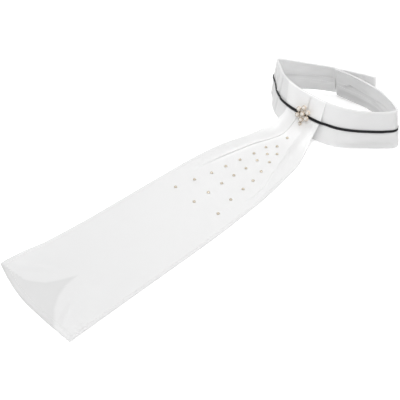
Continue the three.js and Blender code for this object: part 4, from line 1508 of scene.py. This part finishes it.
class StockTieCloth(bpy.types.PropertyGroup):
    """The white cloth and its sewing"""

    cloth_colour: colour("Cloth Colour", "Colour of the facing and the tail", (0.90, 0.90, 0.90))
    # The tail's lower end is painted darker, as painted shade.
    shaded_end_colour: colour("Darker Colour", "Colour of the tail's worn lower end", (0.80, 0.80, 0.802))
    band_colour: colour("Band Colour", "Colour of the neck band", (0.86, 0.86, 0.861))
    # The band's outer end is painted whiter, as painted light.
    end_colour: colour("End Colour", "Colour of the lit outer end of the neck band", (0.975, 0.975, 0.975))
    thread_colour: colour("Thread Colour", "Colour of the stitches", (0.84, 0.84, 0.835))
    tape_colour: colour("Tape Colour", "Colour of the closure's two tapes", (0.78, 0.78, 0.77))
    thread_pitch: length("Thread Pitch", "Distance between two threads of the weave", 0.00042)
    crease_depth: length("Crease Depth", "Depth of the deepest crease", 0.0017)
    stitch_length: length("Stitch Length", "Length of one stitch", 0.0021)


class StockTieTrim(bpy.types.PropertyGroup):
    """The piping, the brooch and the crystals"""

    satin_colour: colour("Satin Colour", "Colour of the piping", (0.008, 0.008, 0.0095))
    gold_colour: colour("Metal Colour", "Colour of the brooch's metal", (1.0, 0.84, 0.68))
    stone_colour: colour("Stone Colour", "Colour of the brooch's stones", (1.0, 0.90, 0.84))
    crystal_colour: colour("Crystal Colour", "Colour of the tail's crystals", (0.70, 0.625, 0.50))


class StockTieStage(bpy.types.PropertyGroup):
    """The floor, the light and the camera"""

    floor_size: length("Floor Size", "Length of the floor's sides", 8.0)
    floor_colour: colour("Floor Colour", "Colour of the floor", (0.96, 0.96, 0.96))
    floor_glow: FloatProperty(
        name="Floor Glow", description="Light that the floor gives off", default=0.22, min=0,
    )
    surround: FloatProperty(name="Surround", description="Strength of the even light", default=0.39, min=0)
    key_place: spot("Key Place", "Where the key light stands, from the tie's middle", (0.42, -0.58, 0.92))
    key_size: length("Key Size", "Width of the key light", 0.9)
    key_power: power("Key Power", "Power of the key light", 8.5)
    top_place: spot("Top Place", "Where the top light stands, from the tie's middle", (0.05, 0.42, 1.02))
    top_size: length("Top Size", "Width of the top light", 0.9)
    top_power: power("Top Power", "Power of the top light", 4.9)
    side_place: spot("Side Place", "Where the side light stands, from the tie's middle", (-0.9, 0.0, 0.8))
    side_size: length("Side Size", "Width of the side light", 0.9)
    side_power: power("Side Power", "Power of the side light", 2.6)
    lens: FloatProperty(name="Lens", description="Focal length", unit="CAMERA", default=58.5, min=1)
    camera_place: spot("Camera Place", "Where the camera stands", (0.3329, -0.3658, 0.3966))
    camera_pitch: FloatProperty(
        name="Camera Pitch", description="How far the camera looks down", unit="ROTATION",
        default=math.radians(40),
    )
    camera_turn: FloatProperty(
        name="Camera Turn", description="Heading of the camera, from +Y towards -X", unit="ROTATION",
        default=math.radians(45),
    )


class STOCKTIE_OT_neck_band(bpy.types.Operator):
    """Make the layered neck band with its seam, creases and stitches"""

    bl_idname = "stock_tie.neck_band"
    bl_label = "Neck Band"

    def execute(self, context):
        make_neck_band(context.scene.stock_tie_cloth)
        return {"FINISHED"}


class STOCKTIE_OT_front_panel(bpy.types.Operator):
    """Make the plain facing on the band's front"""

    bl_idname = "stock_tie.front_panel"
    bl_label = "Front Panel"

    def execute(self, context):
        make_front_panel(context.scene.stock_tie_cloth)
        return {"FINISHED"}


class STOCKTIE_OT_piping(bpy.types.Operator):
    """Make the black satin piping round the band"""

    bl_idname = "stock_tie.piping"
    bl_label = "Piping"

    def execute(self, context):
        make_piping(context.scene.stock_tie_trim)
        return {"FINISHED"}


class STOCKTIE_OT_tail(bpy.types.Operator):
    """Make the long pleated tail with its hems"""

    bl_idname = "stock_tie.tail"
    bl_label = "Tail"

    def execute(self, context):
        make_tail(context.scene.stock_tie_cloth)
        return {"FINISHED"}


class STOCKTIE_OT_brooch(bpy.types.Operator):
    """Make the brooch's metal and its cut stones"""

    bl_idname = "stock_tie.brooch"
    bl_label = "Brooch"

    def execute(self, context):
        make_brooch(context.scene.stock_tie_trim)
        return {"FINISHED"}


class STOCKTIE_OT_crystals(bpy.types.Operator):
    """Make the small crystals that fan out down the tail"""

    bl_idname = "stock_tie.crystals"
    bl_label = "Crystals"

    def execute(self, context):
        make_crystals(context.scene.stock_tie_trim)
        return {"FINISHED"}


class STOCKTIE_OT_closure(bpy.types.Operator):
    """Make the hook-and-loop tapes at the back"""

    bl_idname = "stock_tie.closure"
    bl_label = "Closure"

    def execute(self, context):
        make_closure(context.scene.stock_tie_cloth)
        return {"FINISHED"}


class STOCKTIE_OT_stage(bpy.types.Operator):
    """Make the floor, the lights and the camera"""

    bl_idname = "stock_tie.stage"
    bl_label = "Stage"

    def execute(self, context):
        make_stage(context.scene.stock_tie_stage)
        return {"FINISHED"}


GROUPS = {
    "stock_tie_cloth": StockTieCloth,
    "stock_tie_trim": StockTieTrim,
    "stock_tie_stage": StockTieStage,
}
OPERATORS = (
    STOCKTIE_OT_stage,
    STOCKTIE_OT_neck_band,
    STOCKTIE_OT_front_panel,
    STOCKTIE_OT_piping,
    STOCKTIE_OT_tail,
    STOCKTIE_OT_brooch,
    STOCKTIE_OT_crystals,
    STOCKTIE_OT_closure,
)


class STOCKTIE_PT_pieces(bpy.types.Panel):
    """The stock tie's pieces and their sizes and colours"""

    bl_idname = "STOCKTIE_PT_pieces"
    bl_label = "Stock Tie"
    bl_space_type = "VIEW_3D"
    bl_region_type = "UI"
    bl_category = "Stock Tie"

    def draw(self, context):
        for operator in OPERATORS:
            self.layout.operator(operator.bl_idname)
        for name, group in GROUPS.items():
            box = self.layout.box()
            for setting in group.__annotations__:
                box.prop(getattr(context.scene, name), setting)


def register():
    for kind in (*GROUPS.values(), *OPERATORS, STOCKTIE_PT_pieces):
        bpy.utils.register_class(kind)
    for name, group in GROUPS.items():
        setattr(bpy.types.Scene, name, PointerProperty(type=group))


def unregister():
    for name in GROUPS:
        delattr(bpy.types.Scene, name)
    for kind in reversed((*GROUPS.values(), *OPERATORS, STOCKTIE_PT_pieces)):
        bpy.utils.unregister_class(kind)


def main():
    register()
    bpy.ops.stock_tie.stage()
    bpy.ops.stock_tie.neck_band()
    bpy.ops.stock_tie.front_panel()
    bpy.ops.stock_tie.piping()
    bpy.ops.stock_tie.tail()
    bpy.ops.stock_tie.brooch()
    bpy.ops.stock_tie.crystals()
    bpy.ops.stock_tie.closure()


if __name__ == "__main__":
    main()
